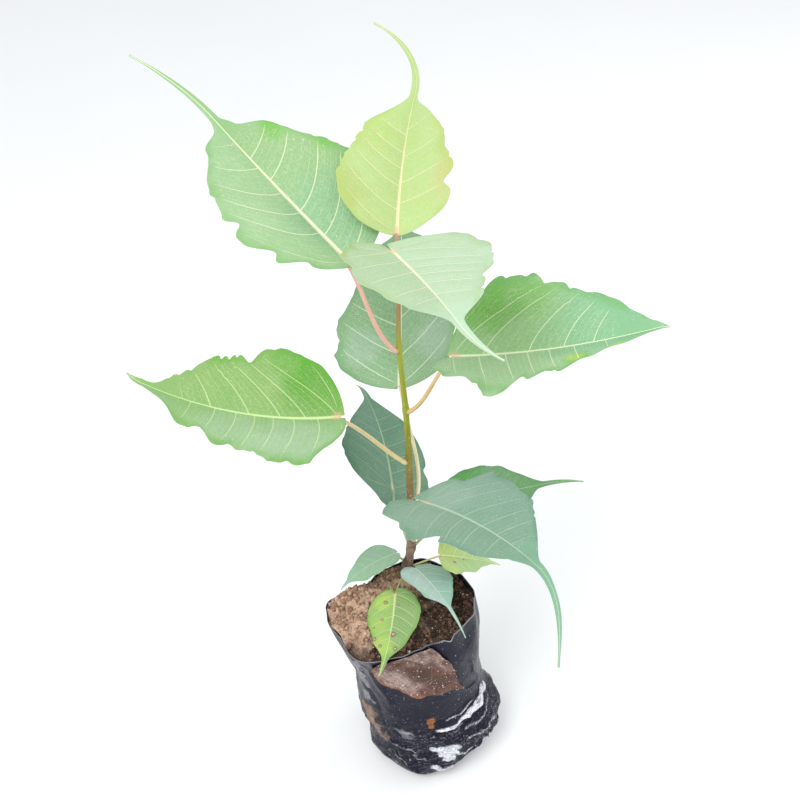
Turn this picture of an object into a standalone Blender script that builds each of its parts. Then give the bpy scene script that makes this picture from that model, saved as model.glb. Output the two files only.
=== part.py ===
"""Young bodhi tree (Ficus religiosa) in a black polythene nursery bag.

The origin is the centre of the bag's flat underside, +Z is up, and the plant is seen from the front when
looking along +Y.  The bag is a thin film filled with soil.  One tapering stem stands in the soil near the
back of the mouth, and carries thirteen leaves on long stalks: nine large ones, and four small ones at its
foot.  A dead leaf hangs on the outside of the bag, at the front of its rim.

All lengths are metres and all angles degrees.
"""

from dataclasses import dataclass

import bpy
import numpy as np

# ------------------------------------------------------------------ driving dimensions

MM = 0.001
FIT_GAP = 0.0004            # clearance between a piece and what carries it

SOIL_LEVEL = 0.144          # soil surface at the stem, above the flat underside
STEM_FOOT = (-0.008, 0.034)  # where the stem leaves the soil, seen from above

# The bag: its film, and its shape at seven heights.
FILM = 0.0012
RIM_HEIGHT = 0.149
BAG_COLUMNS = 32


@dataclass
class BagStation:
    """One level of the bag: an ellipse, pushed sideways as the bag slumps."""
    height: float
    shift_x: float
    shift_y: float
    half_width: float
    half_depth: float


BAG_STATIONS = (
    BagStation(0.000, -0.001, 0.000, 0.035, 0.037),
    BagStation(0.007, 0.000, 0.000, 0.041, 0.041),
    BagStation(0.028, 0.007, 0.002, 0.050, 0.043),
    BagStation(0.050, 0.000, 0.003, 0.048, 0.043),
    BagStation(0.084, -0.003, 0.003, 0.0455, 0.042),
    BagStation(0.122, -0.007, 0.003, 0.0505, 0.042),
    BagStation(0.150, -0.0125, 0.003, 0.0525, 0.042),
)
BAG_ROWS = (0.0, 0.027, 0.07, 0.13, 0.20, 0.29, 0.40, 0.53, 0.67, 0.80, 0.91, 1.0)  # of the rim's height


@dataclass
class MouthDent:
    """A place where the mouth is pushed in (negative) or pulled out, and how far round that reaches."""
    angle: float
    spread: float
    depth: float


MOUTH_DENTS = (
    MouthDent(128, 24, -0.016),
    MouthDent(-115, 14, 0.011),
    MouthDent(-78, 16, -0.003),
)
MOUTH_DEPTH = 0.045         # how far below the rim the dents fade out
RIM_SAG = 0.003             # how far the rim droops over the pulled-out place

# The soil: it lies high on the left and falls away from the film on the right.
SOIL_GAP = 0.0006           # between the soil and the film
SOIL_PAD = 0.0065           # flat round place under the stem
SOIL_EDGE_RISE = 0.0025
SOIL_EDGE_FALL = 0.008
SOIL_RINGS = 5
SOIL_LUMP = 0.0015

# The stem: its sideways bends and its radius, by height above the soil.
STEM_HEIGHTS = (0.0, 0.014, 0.028, 0.070, 0.150, 0.200, 0.250)
STEM_BENDS = (0.0, 0.004, 0.0065, 0.008, 0.009, 0.0075, 0.010)
STEM_FOOT_RADIUS = 0.0030
STEM_TIP_RADIUS = 0.0013
STEM_TOP = 0.250
ROOT_FLARE = 0.0016
FLARE_HEIGHT = 0.005
NODE_SWELLING = 0.22        # part of the radius added where a leaf leaves
NODE_SPREAD = 0.0028
BUD_LENGTH = 0.009
BUD_LEAN = 0.1
BUD_SHAPE = ((0.35, 1.15), (0.7, 0.75), (1.0, 0.25))  # part of its length, and of the tip's radius
STEM_SIDES = 8

# Leaves: what all of them share.
TAIL_HALF_WIDTH = 0.0028    # half width of the drip tip where it starts
TIP_BLUNTNESS = 0.12
BLADE_RISE = 0.5            # how steeply a blade widens from its base, and how it narrows to its tip
BLADE_FALL = 1.25
LOBE_REACH = 0.35           # the base lobes fade out over this part of the blade
NOTCH = 0.0015              # half width of the notch between the lobes
RIB_REACH = 0.28            # the stalk runs on under the blade over this part of its length
RIB_SINK = 0.55             # how deep the rib lies below the blade, as a part of its radius
THICKNESS_RATIO = 0.0105    # of the whole length of blade and tip
STALK_SIDES = 6


@dataclass
class Leaf:
    """One leaf.  Lengths are in millimetres here, and places are measured from the stem's foot."""
    name: str
    node: float              # height on the stem where the stalk leaves
    base: tuple              # where the stalk meets the blade
    heading: float           # direction of the midrib seen from above, anticlockwise from +X
    rise: float              # how steeply the midrib starts upwards
    length: float
    width: float
    tail: float              # length of the drip tip
    bank: float = 0          # roll about the midrib, right side up
    droop: float = 15        # how far the midrib has bent down at the end of the blade
    sweep: float = 0         # how far it has bent to the right there
    tail_droop: float = 0    # the same two for the drip tip
    tail_sweep: float = 0
    fold: float = 20         # how far each half is raised at the midrib
    cup: float = 10          # how far each half bends down towards its margin
    twist: float = 0
    lobe: float = 4          # how far the base lobes reach back past the stalk
    stalk_rise: float = 55   # how steeply the stalk leaves the stem
    stalk_turn: float = 0    # how far round the stem it leaves, from the way to the blade
    stalk: float = 1.1       # radius of the stalk
    colour: tuple = (0.10, 0.25, 0.05)


LEAVES = (
    Leaf("leaf_top", 247, (10.5, -2, 277), 81, 42, 95, 70, 70, droop=25, tail_droop=-20, tail_sweep=-65,
         sweep=5, fold=30, cup=5, twist=15, lobe=2, stalk_rise=60, stalk_turn=150, colour=(0.42, 0.50, 0.10)),
    Leaf("leaf_upper_left", 198, (-18, -13, 268), 135, 28, 130, 95, 75, droop=12, tail_droop=-8,
         tail_sweep=-30, sweep=12, fold=25, cup=15, twist=25, lobe=5, stalk=1.4, colour=(0.20, 0.38, 0.10)),
    Leaf("leaf_centre", 236, (7, -33, 283), -68, 5, 90, 85, 45, bank=10, droop=0, tail_droop=-10,
         tail_sweep=-10, sweep=8, fold=12, cup=-8, twist=-10, lobe=10, colour=(0.35, 0.52, 0.22)),
    Leaf("leaf_right", 151, (38, -24, 206), -22, 12, 119, 100, 7, droop=-15, tail_droop=10,
         tail_sweep=20, fold=25, twist=-15, stalk_rise=45, stalk=1.3, colour=(0.10, 0.32, 0.06)),
    Leaf("leaf_back", 68, (6.5, 28, 149.5), 84, 40, 130, 90, 25, bank=20, droop=25, tail_droop=50,
         tail_sweep=-10, sweep=-12, cup=12, lobe=3, stalk_rise=70, stalk_turn=-60, stalk=1.3,
         colour=(0.10, 0.25, 0.12)),
    Leaf("leaf_left", 109, (-32, -22, 165.5), 187.5, 5, 120, 95, 10, bank=8, droop=-18, tail_sweep=30,
         sweep=24, fold=28, cup=20, twist=5, stalk_rise=50, stalk=1.4, colour=(0.14, 0.40, 0.05)),
    Leaf("leaf_lower_left", 28, (-4, 21, 64), 93, 15, 95, 72, 25, bank=-42, droop=20, tail_droop=25,
         tail_sweep=15, fold=15, cup=28, twist=18, lobe=18, colour=(0.04, 0.14, 0.07)),
    Leaf("leaf_front", 38, (17, -40, 107), -45, 17, 105, 88, 60, bank=17, droop=10, tail_droop=60,
         tail_sweep=48, sweep=18, fold=16, cup=12, twist=-20, lobe=12, stalk=1.2, colour=(0.14, 0.30, 0.18)),
    Leaf("leaf_right_back", 26, (38, 26, 43), -7, 14, 68, 64, 27, bank=-5, droop=5, tail_droop=25,
         sweep=-8, fold=8, cup=20, lobe=9, stalk_rise=10, stalk=1.0, colour=(0.05, 0.24, 0.05)),
    Leaf("small_leaf_left", 13, (-5, 3, 18), 200, 0, 41, 37, 6, bank=-25, droop=28, tail_droop=14,
         sweep=3, fold=10, twist=20, lobe=2, stalk_rise=30, stalk=0.7, colour=(0.14, 0.32, 0.16)),
    Leaf("small_leaf_front", 5, (8, -7, 12), -54, 3, 43, 40, 24, bank=25, droop=16, tail_droop=5,
         tail_sweep=8, sweep=4, fold=12, twist=-8, lobe=2, stalk_rise=35, stalk=0.7,
         colour=(0.12, 0.30, 0.18)),
    Leaf("small_leaf_right", 8, (27, -2, 18), 4, -15, 41, 36, 6, bank=-10, droop=15, tail_sweep=10,
         fold=18, lobe=2, stalk_rise=25, stalk=0.7, colour=(0.32, 0.42, 0.08)),
    Leaf("small_leaf_low", 4, (-7, -30, 12), -95, -8, 52, 37, 10, bank=-8, droop=0, tail_sweep=10,
         sweep=12, fold=5, cup=20, lobe=5, stalk_rise=25, stalk=0.7, colour=(0.25, 0.45, 0.06)),
)

# How each blade departs from a plain heart, on its left and on its right: the place along the blade, how far
# round that it reaches, and how far the margin stands out there (positive) or is drawn in, in half widths.
MARGINS = {
    "leaf_top": (((0.72, 0.10, 0.14), (1.08, 0.08, 0.20)),
                 ((0.02, 0.03, -0.12), (0.12, 0.04, 0.06), (0.25, 0.025, -0.12), (0.33, 0.03, 0.05),
                  (0.45, 0.04, -0.06), (0.68, 0.08, 0.08), (0.93, 0.05, -0.20))),
    "leaf_upper_left": (((0.07, 0.015, -0.16), (0.108, 0.018, 0.10), (0.165, 0.02, -0.13),
                         (0.25, 0.03, 0.09), (0.33, 0.02, -0.12), (0.39, 0.025, 0.05),
                         (0.62, 0.08, 0.06), (0.82, 0.04, 0.22), (0.91, 0.03, -0.20)),
                        ((0.05, 0.03, -0.08), (0.42, 0.03, -0.04), (0.77, 0.05, 0.12), (0.87, 0.03, -0.20))),
    "leaf_centre": (((0.03, 0.04, 0.08), (0.27, 0.08, -0.06), (0.55, 0.05, 0.05), (0.64, 0.02, -0.10),
                     (0.86, 0.07, 0.48)),
                    ((0.13, 0.08, -0.26), (0.37, 0.05, -0.16), (0.57, 0.04, 0.14), (0.70, 0.04, 0.14),
                     (0.83, 0.04, 0.45))),
    "leaf_right": (((0.16, 0.08, 0.13), (0.37, 0.04, 0.08), (0.54, 0.03, 0.06), (0.63, 0.04, 0.06),
                    (0.74, 0.04, 0.20), (0.85, 0.05, 0.55), (0.96, 0.04, 1.00)),
                   ((0.01, 0.02, 0.40), (0.20, 0.04, -0.14), (0.39, 0.05, 0.26), (0.455, 0.02, -0.26),
                    (0.55, 0.03, -0.16), (0.64, 0.03, 0.12), (0.70, 0.03, -0.16), (0.80, 0.04, -0.26))),
    "leaf_back": (((0.08, 0.06, 0.07), (0.52, 0.12, -0.10), (0.83, 0.04, 0.20), (0.90, 0.03, -0.25)),
                  ((0.08, 0.04, 0.12), (0.79, 0.04, 0.22))),
    "leaf_left": (((0.09, 0.04, -0.10), (0.20, 0.05, 0.10), (0.42, 0.04, -0.04), (0.57, 0.03, 0.16),
                   (0.65, 0.025, -0.12), (0.76, 0.04, 0.32), (0.88, 0.03, -0.10)),
                  ((0.20, 0.10, -0.05), (0.49, 0.03, -0.19), (0.72, 0.08, 0.22), (0.86, 0.03, 0.16),
                   (0.94, 0.03, -0.30))),
    "leaf_lower_left": (((0.005, 0.01, 0.16), (0.04, 0.02, -0.10), (0.13, 0.03, 0.10), (0.30, 0.06, 0.08)),
                        ((0.15, 0.03, 0.06), (0.27, 0.03, -0.12), (0.50, 0.04, -0.04), (0.72, 0.04, 0.10))),
    "leaf_front": (((0.10, 0.02, -0.18), (0.15, 0.02, 0.20), (0.42, 0.07, -0.10), (0.90, 0.08, 0.08),
                    (1.18, 0.08, -0.30)),
                   ((0.00, 0.015, 0.50), (0.08, 0.04, 0.10), (0.21, 0.03, -0.06), (0.40, 0.03, 0.13),
                    (0.47, 0.02, -0.22), (0.58, 0.04, -0.05), (0.75, 0.06, 0.18))),
    "leaf_right_back": (((0.57, 0.05, 0.08), (0.95, 0.04, 0.10)),
                        ((0.79, 0.04, 0.20), (0.91, 0.03, -0.30))),
    "small_leaf_left": (((0.28, 0.07, -0.14), (0.75, 0.12, 0.38)),
                        ((0.04, 0.03, -0.24), (0.20, 0.06, 0.10), (0.70, 0.06, -0.10), (0.90, 0.06, 0.40))),
    "small_leaf_front": (((0.10, 0.04, -0.14), (0.85, 0.08, 0.12)),
                         ((0.73, 0.06, 0.40),)),
    "small_leaf_right": ((),
                         ((0.02, 0.03, 0.26), (0.40, 0.08, -0.16), (0.74, 0.06, -0.22))),
    "small_leaf_low": (((0.80, 0.10, 0.32),),
                       ((0.00, 0.03, -0.12), (0.78, 0.08, 0.22))),
}

# The dead leaf on the bag's front: where its middle lies on the film, its size, and how its tip points down.
DEAD_LEAF_ANGLE = -76
DEAD_LEAF_HEIGHT = 0.116
DEAD_LEAF_LENGTH = 0.072
DEAD_LEAF_WIDTH = 0.050
DEAD_LEAF_TILT = -48
DEAD_LEAF_FALL = 1.6
DEAD_LEAF_BLUNTNESS = 0.05    # least half width at its base and tip, as a part of the greatest
DEAD_LEAF_THICKNESS = 0.0009
DEAD_LEAF_LOOSENESS = 0.0009  # how far it stands off the film
DEAD_LEAF_BELOW_RIM = 0.0008
FILM_RADIUS = 0.046           # mean radius of the bag, which turns lengths round it into angles


# ------------------------------------------------------------------ shared helpers

def clear_scene():
    """Remove every object that is already in the file."""
    for leftover in list(bpy.data.objects):
        bpy.data.objects.remove(leftover, do_unlink=True)


def material(name, colour, roughness, metallic=0.0):
    """A plain Principled material."""
    finish = bpy.data.materials.new(name)
    finish.use_nodes = True
    shader = finish.node_tree.nodes["Principled BSDF"]
    shader.inputs["Base Color"].default_value = (*colour, 1.0)
    shader.inputs["Roughness"].default_value = roughness
    shader.inputs["Metallic"].default_value = metallic
    return finish


def mesh_object(name, points, faces, finish):
    """Make a smooth-shaded mesh object from points and faces, and link it to the scene."""
    mesh = bpy.data.meshes.new(name)
    mesh.from_pydata([tuple(point) for point in points], [], faces)
    mesh.validate()
    mesh.shade_smooth()
    mesh.set_sharp_from_angle(angle=np.radians(40))
    mesh.materials.append(finish)
    thing = bpy.data.objects.new(name, mesh)
    bpy.context.scene.collection.objects.link(thing)
    return thing


def unit(vector):
    """Scale vectors along the last axis to length one."""
    return vector / np.linalg.norm(vector, axis=-1, keepdims=True)


def smooth_through(x, knots, values):
    """A smooth curve through the knots: cubic pieces whose slopes are the means of their neighbours'."""
    x = np.asarray(x, float)
    knots, values = np.asarray(knots, float), np.asarray(values, float)
    slopes = np.gradient(values, knots)
    piece = np.clip(np.searchsorted(knots, x) - 1, 0, len(knots) - 2)
    span = knots[piece + 1] - knots[piece]
    t = np.clip((x - knots[piece]) / span, 0, 1)
    start, end = values[piece], values[piece + 1]
    return ((2 * t**3 - 3 * t**2 + 1) * start + (t**3 - 2 * t**2 + t) * span * slopes[piece]
            + (3 * t**2 - 2 * t**3) * end + (t**3 - t**2) * span * slopes[piece + 1])


def bump(x, centre, spread):
    """A bell curve of height one."""
    return np.exp(-0.5 * ((x - centre) / spread) ** 2)


def closed_rings(rings):
    """Points and faces of a closed skin through equal rings, the first and last filled with a cap.

    Each square between two rings is cut along the diagonal that climbs anticlockwise, so that nested walls
    made from the same columns stay parallel.
    """
    count = len(rings[0])
    faces = [tuple(reversed(range(count)))]
    for row in range(len(rings) - 1):
        low, high = row * count, (row + 1) * count
        climbs = rings[row + 1][:, 2].mean() >= rings[row][:, 2].mean()
        for i in range(count):
            j = (i + 1) % count
            if climbs:
                faces += [(low + i, low + j, high + j), (low + i, high + j, high + i)]
            else:
                faces += [(low + i, low + j, high + i), (low + j, high + j, high + i)]
    last = (len(rings) - 1) * count
    faces.append(tuple(range(last, last + count)))
    return np.concatenate(rings), faces


def tube_rings(path, radii, sides):
    """Rings of a round tube along a path, carried from end to end without twisting."""
    tangents = unit(np.gradient(path, axis=0))
    side = unit(np.cross(tangents[0], (0.31, 0.17, 0.93)))
    angles = np.linspace(0, 2 * np.pi, sides, endpoint=False)[:, None]
    rings = []
    for point, tangent, radius in zip(path, tangents, radii):
        side = unit(side - tangent * (side @ tangent))
        other = np.cross(tangent, side)
        rings.append(point + radius * (np.cos(angles) * side + np.sin(angles) * other))
    return rings


def slab(surface, thickness):
    """Thicken a grid of points both ways along its normals into a closed slab."""
    rows, columns = surface.shape[:2]
    normal = unit(np.cross(np.gradient(surface, axis=1), np.gradient(surface, axis=0)))
    upper = surface + normal * thickness / 2
    lower = surface - normal * thickness / 2
    points = np.concatenate([upper.reshape(-1, 3), lower.reshape(-1, 3)])
    under = rows * columns

    def at(row, column):
        return row * columns + column

    faces = []
    for i in range(rows - 1):
        for j in range(columns - 1):
            a, b, c, d = at(i, j), at(i, j + 1), at(i + 1, j + 1), at(i + 1, j)
            faces += [(a, b, c), (a, c, d)]
            faces += [(c + under, b + under, a + under), (d + under, c + under, a + under)]
    border = ([at(0, j) for j in range(columns)]
              + [at(i, columns - 1) for i in range(1, rows)]
              + [at(rows - 1, j) for j in range(columns - 2, -1, -1)]
              + [at(i, 0) for i in range(rows - 2, 0, -1)])
    for a, b in zip(border, border[1:] + border[:1]):
        faces += [(b, a, a + under), (b, a + under, b + under)]
    return points, faces


# ------------------------------------------------------------------ bag and soil

def wrapped(angle, centre):
    """Difference of two angles in degrees, between -180 and 180."""
    return (angle - centre + 180) % 360 - 180


def rim_height(angle):
    """Height of the rim round the mouth."""
    pulled = MOUTH_DENTS[1]
    return RIM_HEIGHT - RIM_SAG * bump(wrapped(angle, pulled.angle), 0, 2 * pulled.spread)


def bag_point(angle, height, inset=0.0):
    """A point of the bag's outer face at an angle and a height, moved inwards by the inset."""
    heights = [station.height for station in BAG_STATIONS]
    shift_x, shift_y, half_width, half_depth = (
        smooth_through(height, heights, [getattr(station, field) for station in BAG_STATIONS])
        for field in ("shift_x", "shift_y", "half_width", "half_depth"))
    fade = np.clip((height - RIM_HEIGHT + MOUTH_DEPTH) / MOUTH_DEPTH, 0, 1) ** 2
    dent = sum(place.depth * bump(wrapped(angle, place.angle), 0, place.spread) for place in MOUTH_DENTS)
    turn = np.radians(angle)
    change = dent * fade - inset
    return np.stack([shift_x + (half_width + change) * np.cos(turn),
                     shift_y + (half_depth + change) * np.sin(turn),
                     height + 0 * turn], axis=-1)


def column_angles():
    """The angles of the bag's columns, which the soil shares."""
    return np.arange(BAG_COLUMNS) * 360 / BAG_COLUMNS


def build_bag():
    """The film: an outer and an inner face joined over the rim, with a flat underside."""
    angles = column_angles()
    outer = [bag_point(angles, row * rim_height(angles)) for row in BAG_ROWS]
    inner = [bag_point(angles, np.maximum(row * rim_height(angles), FILM), FILM) for row in BAG_ROWS]
    points, faces = closed_rings(outer + inner[::-1])
    film = material("bag_film", (0.012, 0.013, 0.022), 0.28)
    return mesh_object("bag", points, faces, film)


def soil_edge(angle):
    """Height of the soil where it meets the film: heaped at the left, sunk at the right."""
    rise = SOIL_EDGE_RISE * bump(wrapped(angle, 180), 0, 55)
    fall = SOIL_EDGE_FALL * bump(wrapped(angle, -8), 0, 32)
    return SOIL_LEVEL + rise - fall


def soil_lumps(x, y):
    """Gentle unevenness of the soil's surface."""
    return SOIL_LUMP * (np.sin(150 * x + 0.6) * np.cos(120 * y) + 0.6 * np.sin(260 * x - 190 * y))


def build_soil():
    """The soil: it fills the bag, with a flat round pad under the stem."""
    angles = column_angles()
    inset = FILM + SOIL_GAP
    rows = [row for row in BAG_ROWS if row < 0.9]
    rings = [bag_point(angles, np.maximum(row * rim_height(angles), inset), inset) for row in rows]
    below = rings[-1]
    rim = bag_point(angles, rim_height(angles), inset)
    second = bag_point(angles, BAG_ROWS[-2] * rim_height(angles), inset)
    rings.append(second)
    climb = ((soil_edge(angles) - second[:, 2]) / (rim[:, 2] - second[:, 2]))[:, None]
    edge = second + (rim - second) * climb
    rings.append(edge)
    toward = np.arctan2(edge[:, 1] - STEM_FOOT[1], edge[:, 0] - STEM_FOOT[0])
    pad = np.stack([STEM_FOOT[0] + SOIL_PAD * np.cos(toward), STEM_FOOT[1] + SOIL_PAD * np.sin(toward),
                    SOIL_LEVEL + 0 * toward], axis=-1)
    for step in range(1, SOIL_RINGS):
        part = step / SOIL_RINGS
        ring = edge + (pad - edge) * part
        ring[:, 2] += soil_lumps(ring[:, 0], ring[:, 1]) * (1 - part)
        rings.append(ring)
    rings.append(pad)
    points, faces = closed_rings(rings)
    return mesh_object("soil", points, faces, material("potting_soil", (0.16, 0.085, 0.055), 0.95))


# ------------------------------------------------------------------ stem

def stem_axis(height):
    """Centre of the stem at a height above the soil."""
    x = STEM_FOOT[0] + smooth_through(height, STEM_HEIGHTS, STEM_BENDS)
    return np.stack([x, STEM_FOOT[1] + 0 * x, SOIL_LEVEL + np.asarray(height)], axis=-1)


def stem_radius(height):
    """Radius of the stem: an even taper, a root flare, and a swelling at each node."""
    height = np.asarray(height, float)
    radius = STEM_FOOT_RADIUS + (STEM_TIP_RADIUS - STEM_FOOT_RADIUS) * (height / STEM_TOP) ** 0.8
    swelling = sum(bump(height, leaf.node * MM, NODE_SPREAD) for leaf in LEAVES)
    flare = ROOT_FLARE * np.exp(-height / FLARE_HEIGHT)
    return radius * (1 + NODE_SWELLING * np.minimum(swelling, 1)) + flare


def stem_rows():
    """Heights of the stem's rings: even steps, with rings close to each node."""
    heights = set(np.round(np.linspace(FIT_GAP, STEM_TOP, 14), 4))
    for leaf in LEAVES:
        for offset in (-NODE_SPREAD, 0, NODE_SPREAD):
            heights.add(round(leaf.node * MM + offset, 4))
    chosen = []
    for height in sorted(heights):
        if FIT_GAP <= height <= STEM_TOP and (not chosen or height - chosen[-1] > 0.0018):
            chosen.append(float(height))
    return np.array(chosen)


def build_stem():
    """The stem, from its flat cut at the soil to the closed bud at its tip."""
    heights = stem_rows()
    tip = stem_axis(STEM_TOP)
    bud = np.array([[BUD_LEAN * part, 0, part] for part, _ in BUD_SHAPE]) * BUD_LENGTH
    path = np.concatenate([stem_axis(heights), tip + bud])
    radii = np.concatenate([stem_radius(heights), [STEM_TIP_RADIUS * size for _, size in BUD_SHAPE]])
    rings = tube_rings(path, radii, STEM_SIDES)
    rings[0][:, 2] = SOIL_LEVEL + FIT_GAP
    points, faces = closed_rings(rings)
    return mesh_object("trunk", points, faces, material("stem_bark", (0.20, 0.13, 0.05), 0.7))


# ------------------------------------------------------------------ leaves

def leaf_frame(leaf):
    """Rows: right side, midrib and upper face of the blade at its base, in the part's frame."""
    heading, rise, bank = np.radians([leaf.heading, leaf.rise, leaf.bank])
    along = np.array([np.cos(heading) * np.cos(rise), np.sin(heading) * np.cos(rise), np.sin(rise)])
    level = np.array([np.sin(heading), -np.cos(heading), 0.0])
    above = np.cross(level, along)
    right = level * np.cos(bank) + above * np.sin(bank)
    return np.stack([right, along, np.cross(right, along)])


def midrib(leaf, travel):
    """Points and frames along the midrib, bent, swept and twisted evenly over the blade and over its tip."""
    blade = np.clip(travel / (leaf.length * MM), 0, 1)
    tip = np.clip((travel - leaf.length * MM) / (leaf.tail * MM), 0, 1)
    pitch = np.radians(-(leaf.droop * blade + leaf.tail_droop * tip))
    yaw = np.radians(leaf.sweep * blade + leaf.tail_sweep * tip)
    twist = np.radians(leaf.twist * blade)[:, None]
    along = np.stack([np.sin(yaw) * np.cos(pitch), np.cos(yaw) * np.cos(pitch), np.sin(pitch)], axis=-1)
    level = np.stack([np.cos(yaw), -np.sin(yaw), 0 * yaw], axis=-1)
    above = np.cross(level, along)
    right = level * np.cos(twist) + above * np.sin(twist)
    upper = above * np.cos(twist) - level * np.sin(twist)
    steps = np.diff(travel)[:, None] * (along[1:] + along[:-1]) / 2
    points = np.concatenate([np.zeros((1, 3)), np.cumsum(steps, axis=0)])
    return points, along, right, upper


def heart(q, rise, fall):
    """Half width of a heart shape, as a part of the greatest, at the place q from its base to its tip."""
    widest = rise / (rise + fall)
    return (q / widest) ** rise * ((1 - q) / (1 - widest)) ** fall


def blade_half_width(leaf, travel):
    """Half width along the midrib: a heart-shaped blade that runs out into a long narrow tip."""
    q = np.clip(travel / (leaf.length * MM), 0, 1)
    blade = heart(q, BLADE_RISE, BLADE_FALL) * leaf.width * MM / 2
    past = np.clip(1 - (travel - leaf.length * MM) / (leaf.tail * MM), TIP_BLUNTNESS, 1) ** 0.7
    tail = TAIL_HALF_WIDTH * np.where(q < 1, np.clip(3 * q, 0, 1), past) * min(1, leaf.length / 80)
    return np.hypot(blade, tail)


def margin_swell(leaf, travel, across):
    """How far the blade swells towards its margin, in half widths: bumps along it, by the cube of the place
    across."""
    place = travel[:, None] / (leaf.length * MM)
    left, right = (sum((height * bump(place, centre, spread) for centre, spread, height in side), 0 * place)
                   for side in MARGINS[leaf.name])
    return np.where(across[None, :] < 0, left, right) * np.abs(across[None, :])**3


def blade_surface(leaf, travel, across):
    """Middle surface of the blade on a grid: each half bends out from the midrib along an arc, raised by the
    fold and turned down by the cup, its margin swells by its own table, and its base is drawn back into a
    lobe."""
    points, along, right, upper = midrib(leaf, travel)
    fade = np.clip(1 - travel / (LOBE_REACH * leaf.length * MM), 0, 1)[:, None] ** 2
    side = np.abs(across)[None, :]
    swell = margin_swell(leaf, travel, across)
    reach = (side * blade_half_width(leaf, travel)[:, None] + NOTCH * side * fade) * (1 + swell)
    back = leaf.lobe * MM * side**1.3 * fade
    bend = np.radians(leaf.cup) * reach / (leaf.width * MM / 2)
    slope = np.radians(leaf.fold) - bend / 2
    chord = reach * np.sinc(bend / 2 / np.pi)
    sideways = chord * np.cos(slope) * np.sign(across)[None, :]
    return (points[:, None] + sideways[..., None] * right[:, None]
            + (chord * np.sin(slope))[..., None] * upper[:, None] - back[..., None] * along[:, None])


def leaf_base(leaf):
    """Where the stalk meets the blade, in the part's frame."""
    return np.array([STEM_FOOT[0], STEM_FOOT[1], SOIL_LEVEL]) + np.array(leaf.base) * MM


def stalk_path(leaf, sink):
    """The stalk's centre line: out from the stem, then in one curve up to the blade's base."""
    node = stem_axis(leaf.node * MM)
    base = leaf_base(leaf) - leaf_frame(leaf)[2] * sink
    way = base - node
    turn = np.arctan2(way[1], way[0]) + np.radians(leaf.stalk_turn)
    rise = np.radians(leaf.stalk_rise)
    out = np.array([np.cos(turn), np.sin(turn), 0.0])
    leaving = out * np.cos(rise) + np.array([0, 0, np.sin(rise)])
    start = node + out * (stem_radius(leaf.node * MM) + FIT_GAP + leaf.stalk * MM * np.sin(rise))
    span = np.linalg.norm(base - start)
    arriving = unit(0.25 * leaf_frame(leaf)[1] + 0.75 * unit(base - start))
    first, last = start + leaving * span * 0.35, base - arriving * span * 0.3
    t = np.linspace(0, 1, 9 if span > 0.03 else 6)[:, None]
    return (1 - t)**3 * start + 3 * t * (1 - t)**2 * first + 3 * t**2 * (1 - t) * last + t**3 * base


def build_leaf(leaf):
    """One leaf: a heart-shaped blade with a long tip, joined to a stalk that runs on under it as its rib."""
    frame, base = leaf_frame(leaf), leaf_base(leaf)
    whole = (leaf.length + leaf.tail) * MM
    thickness = max(THICKNESS_RATIO * whole, 0.0007)
    small = leaf.length < 60
    blade_rows = 12 if small else 24
    tail_rows = max(2, round(leaf.tail / 9))
    part = np.linspace(0, 1, blade_rows + 1)
    travel = np.concatenate([leaf.length * MM * part**1.35,
                             leaf.length * MM + leaf.tail * MM * np.linspace(0, 1, tail_rows + 1)[1:]])
    across = np.linspace(-1, 1, 7)
    surface = blade_surface(leaf, travel, across) @ frame + base
    finish = material(leaf.name, leaf.colour, 0.45)
    blade = mesh_object(leaf.name, *slab(surface, thickness), finish)

    radius = leaf.stalk * MM
    sink = RIB_SINK * radius
    points, _, _, upper = midrib(leaf, np.linspace(0, RIB_REACH * leaf.length * MM, 5))
    rib = (points - upper * sink * np.linspace(1, 0.85, 5)[:, None]) @ frame + base
    path = np.concatenate([stalk_path(leaf, sink), rib[1:]])
    taper = np.concatenate([np.linspace(1.15, 0.85, len(path) - 4), np.linspace(0.8, 0.45, 4)])
    rings = tube_rings(path, radius * taper, STALK_SIDES)
    join(blade, [mesh_object(leaf.name + "_stalk", *closed_rings(rings), finish)])
    return blade


def join(body, pieces):
    """Fuse the pieces into the body with one Boolean union on their collection, then remove them."""
    group = bpy.data.collections.new(body.name + "_pieces")
    bpy.context.scene.collection.children.link(group)
    for piece in pieces:
        bpy.context.scene.collection.objects.unlink(piece)
        group.objects.link(piece)
    union = body.modifiers.new("union", "BOOLEAN")
    union.operation = "UNION"
    union.operand_type = "COLLECTION"
    union.collection = group
    union.solver = "EXACT"
    bpy.context.view_layer.update()
    fused = bpy.data.meshes.new_from_object(body.evaluated_get(bpy.context.evaluated_depsgraph_get()))
    body.modifiers.remove(union)
    body.data = fused
    for piece in pieces:
        bpy.data.objects.remove(piece, do_unlink=True)
    bpy.data.collections.remove(group)


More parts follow.
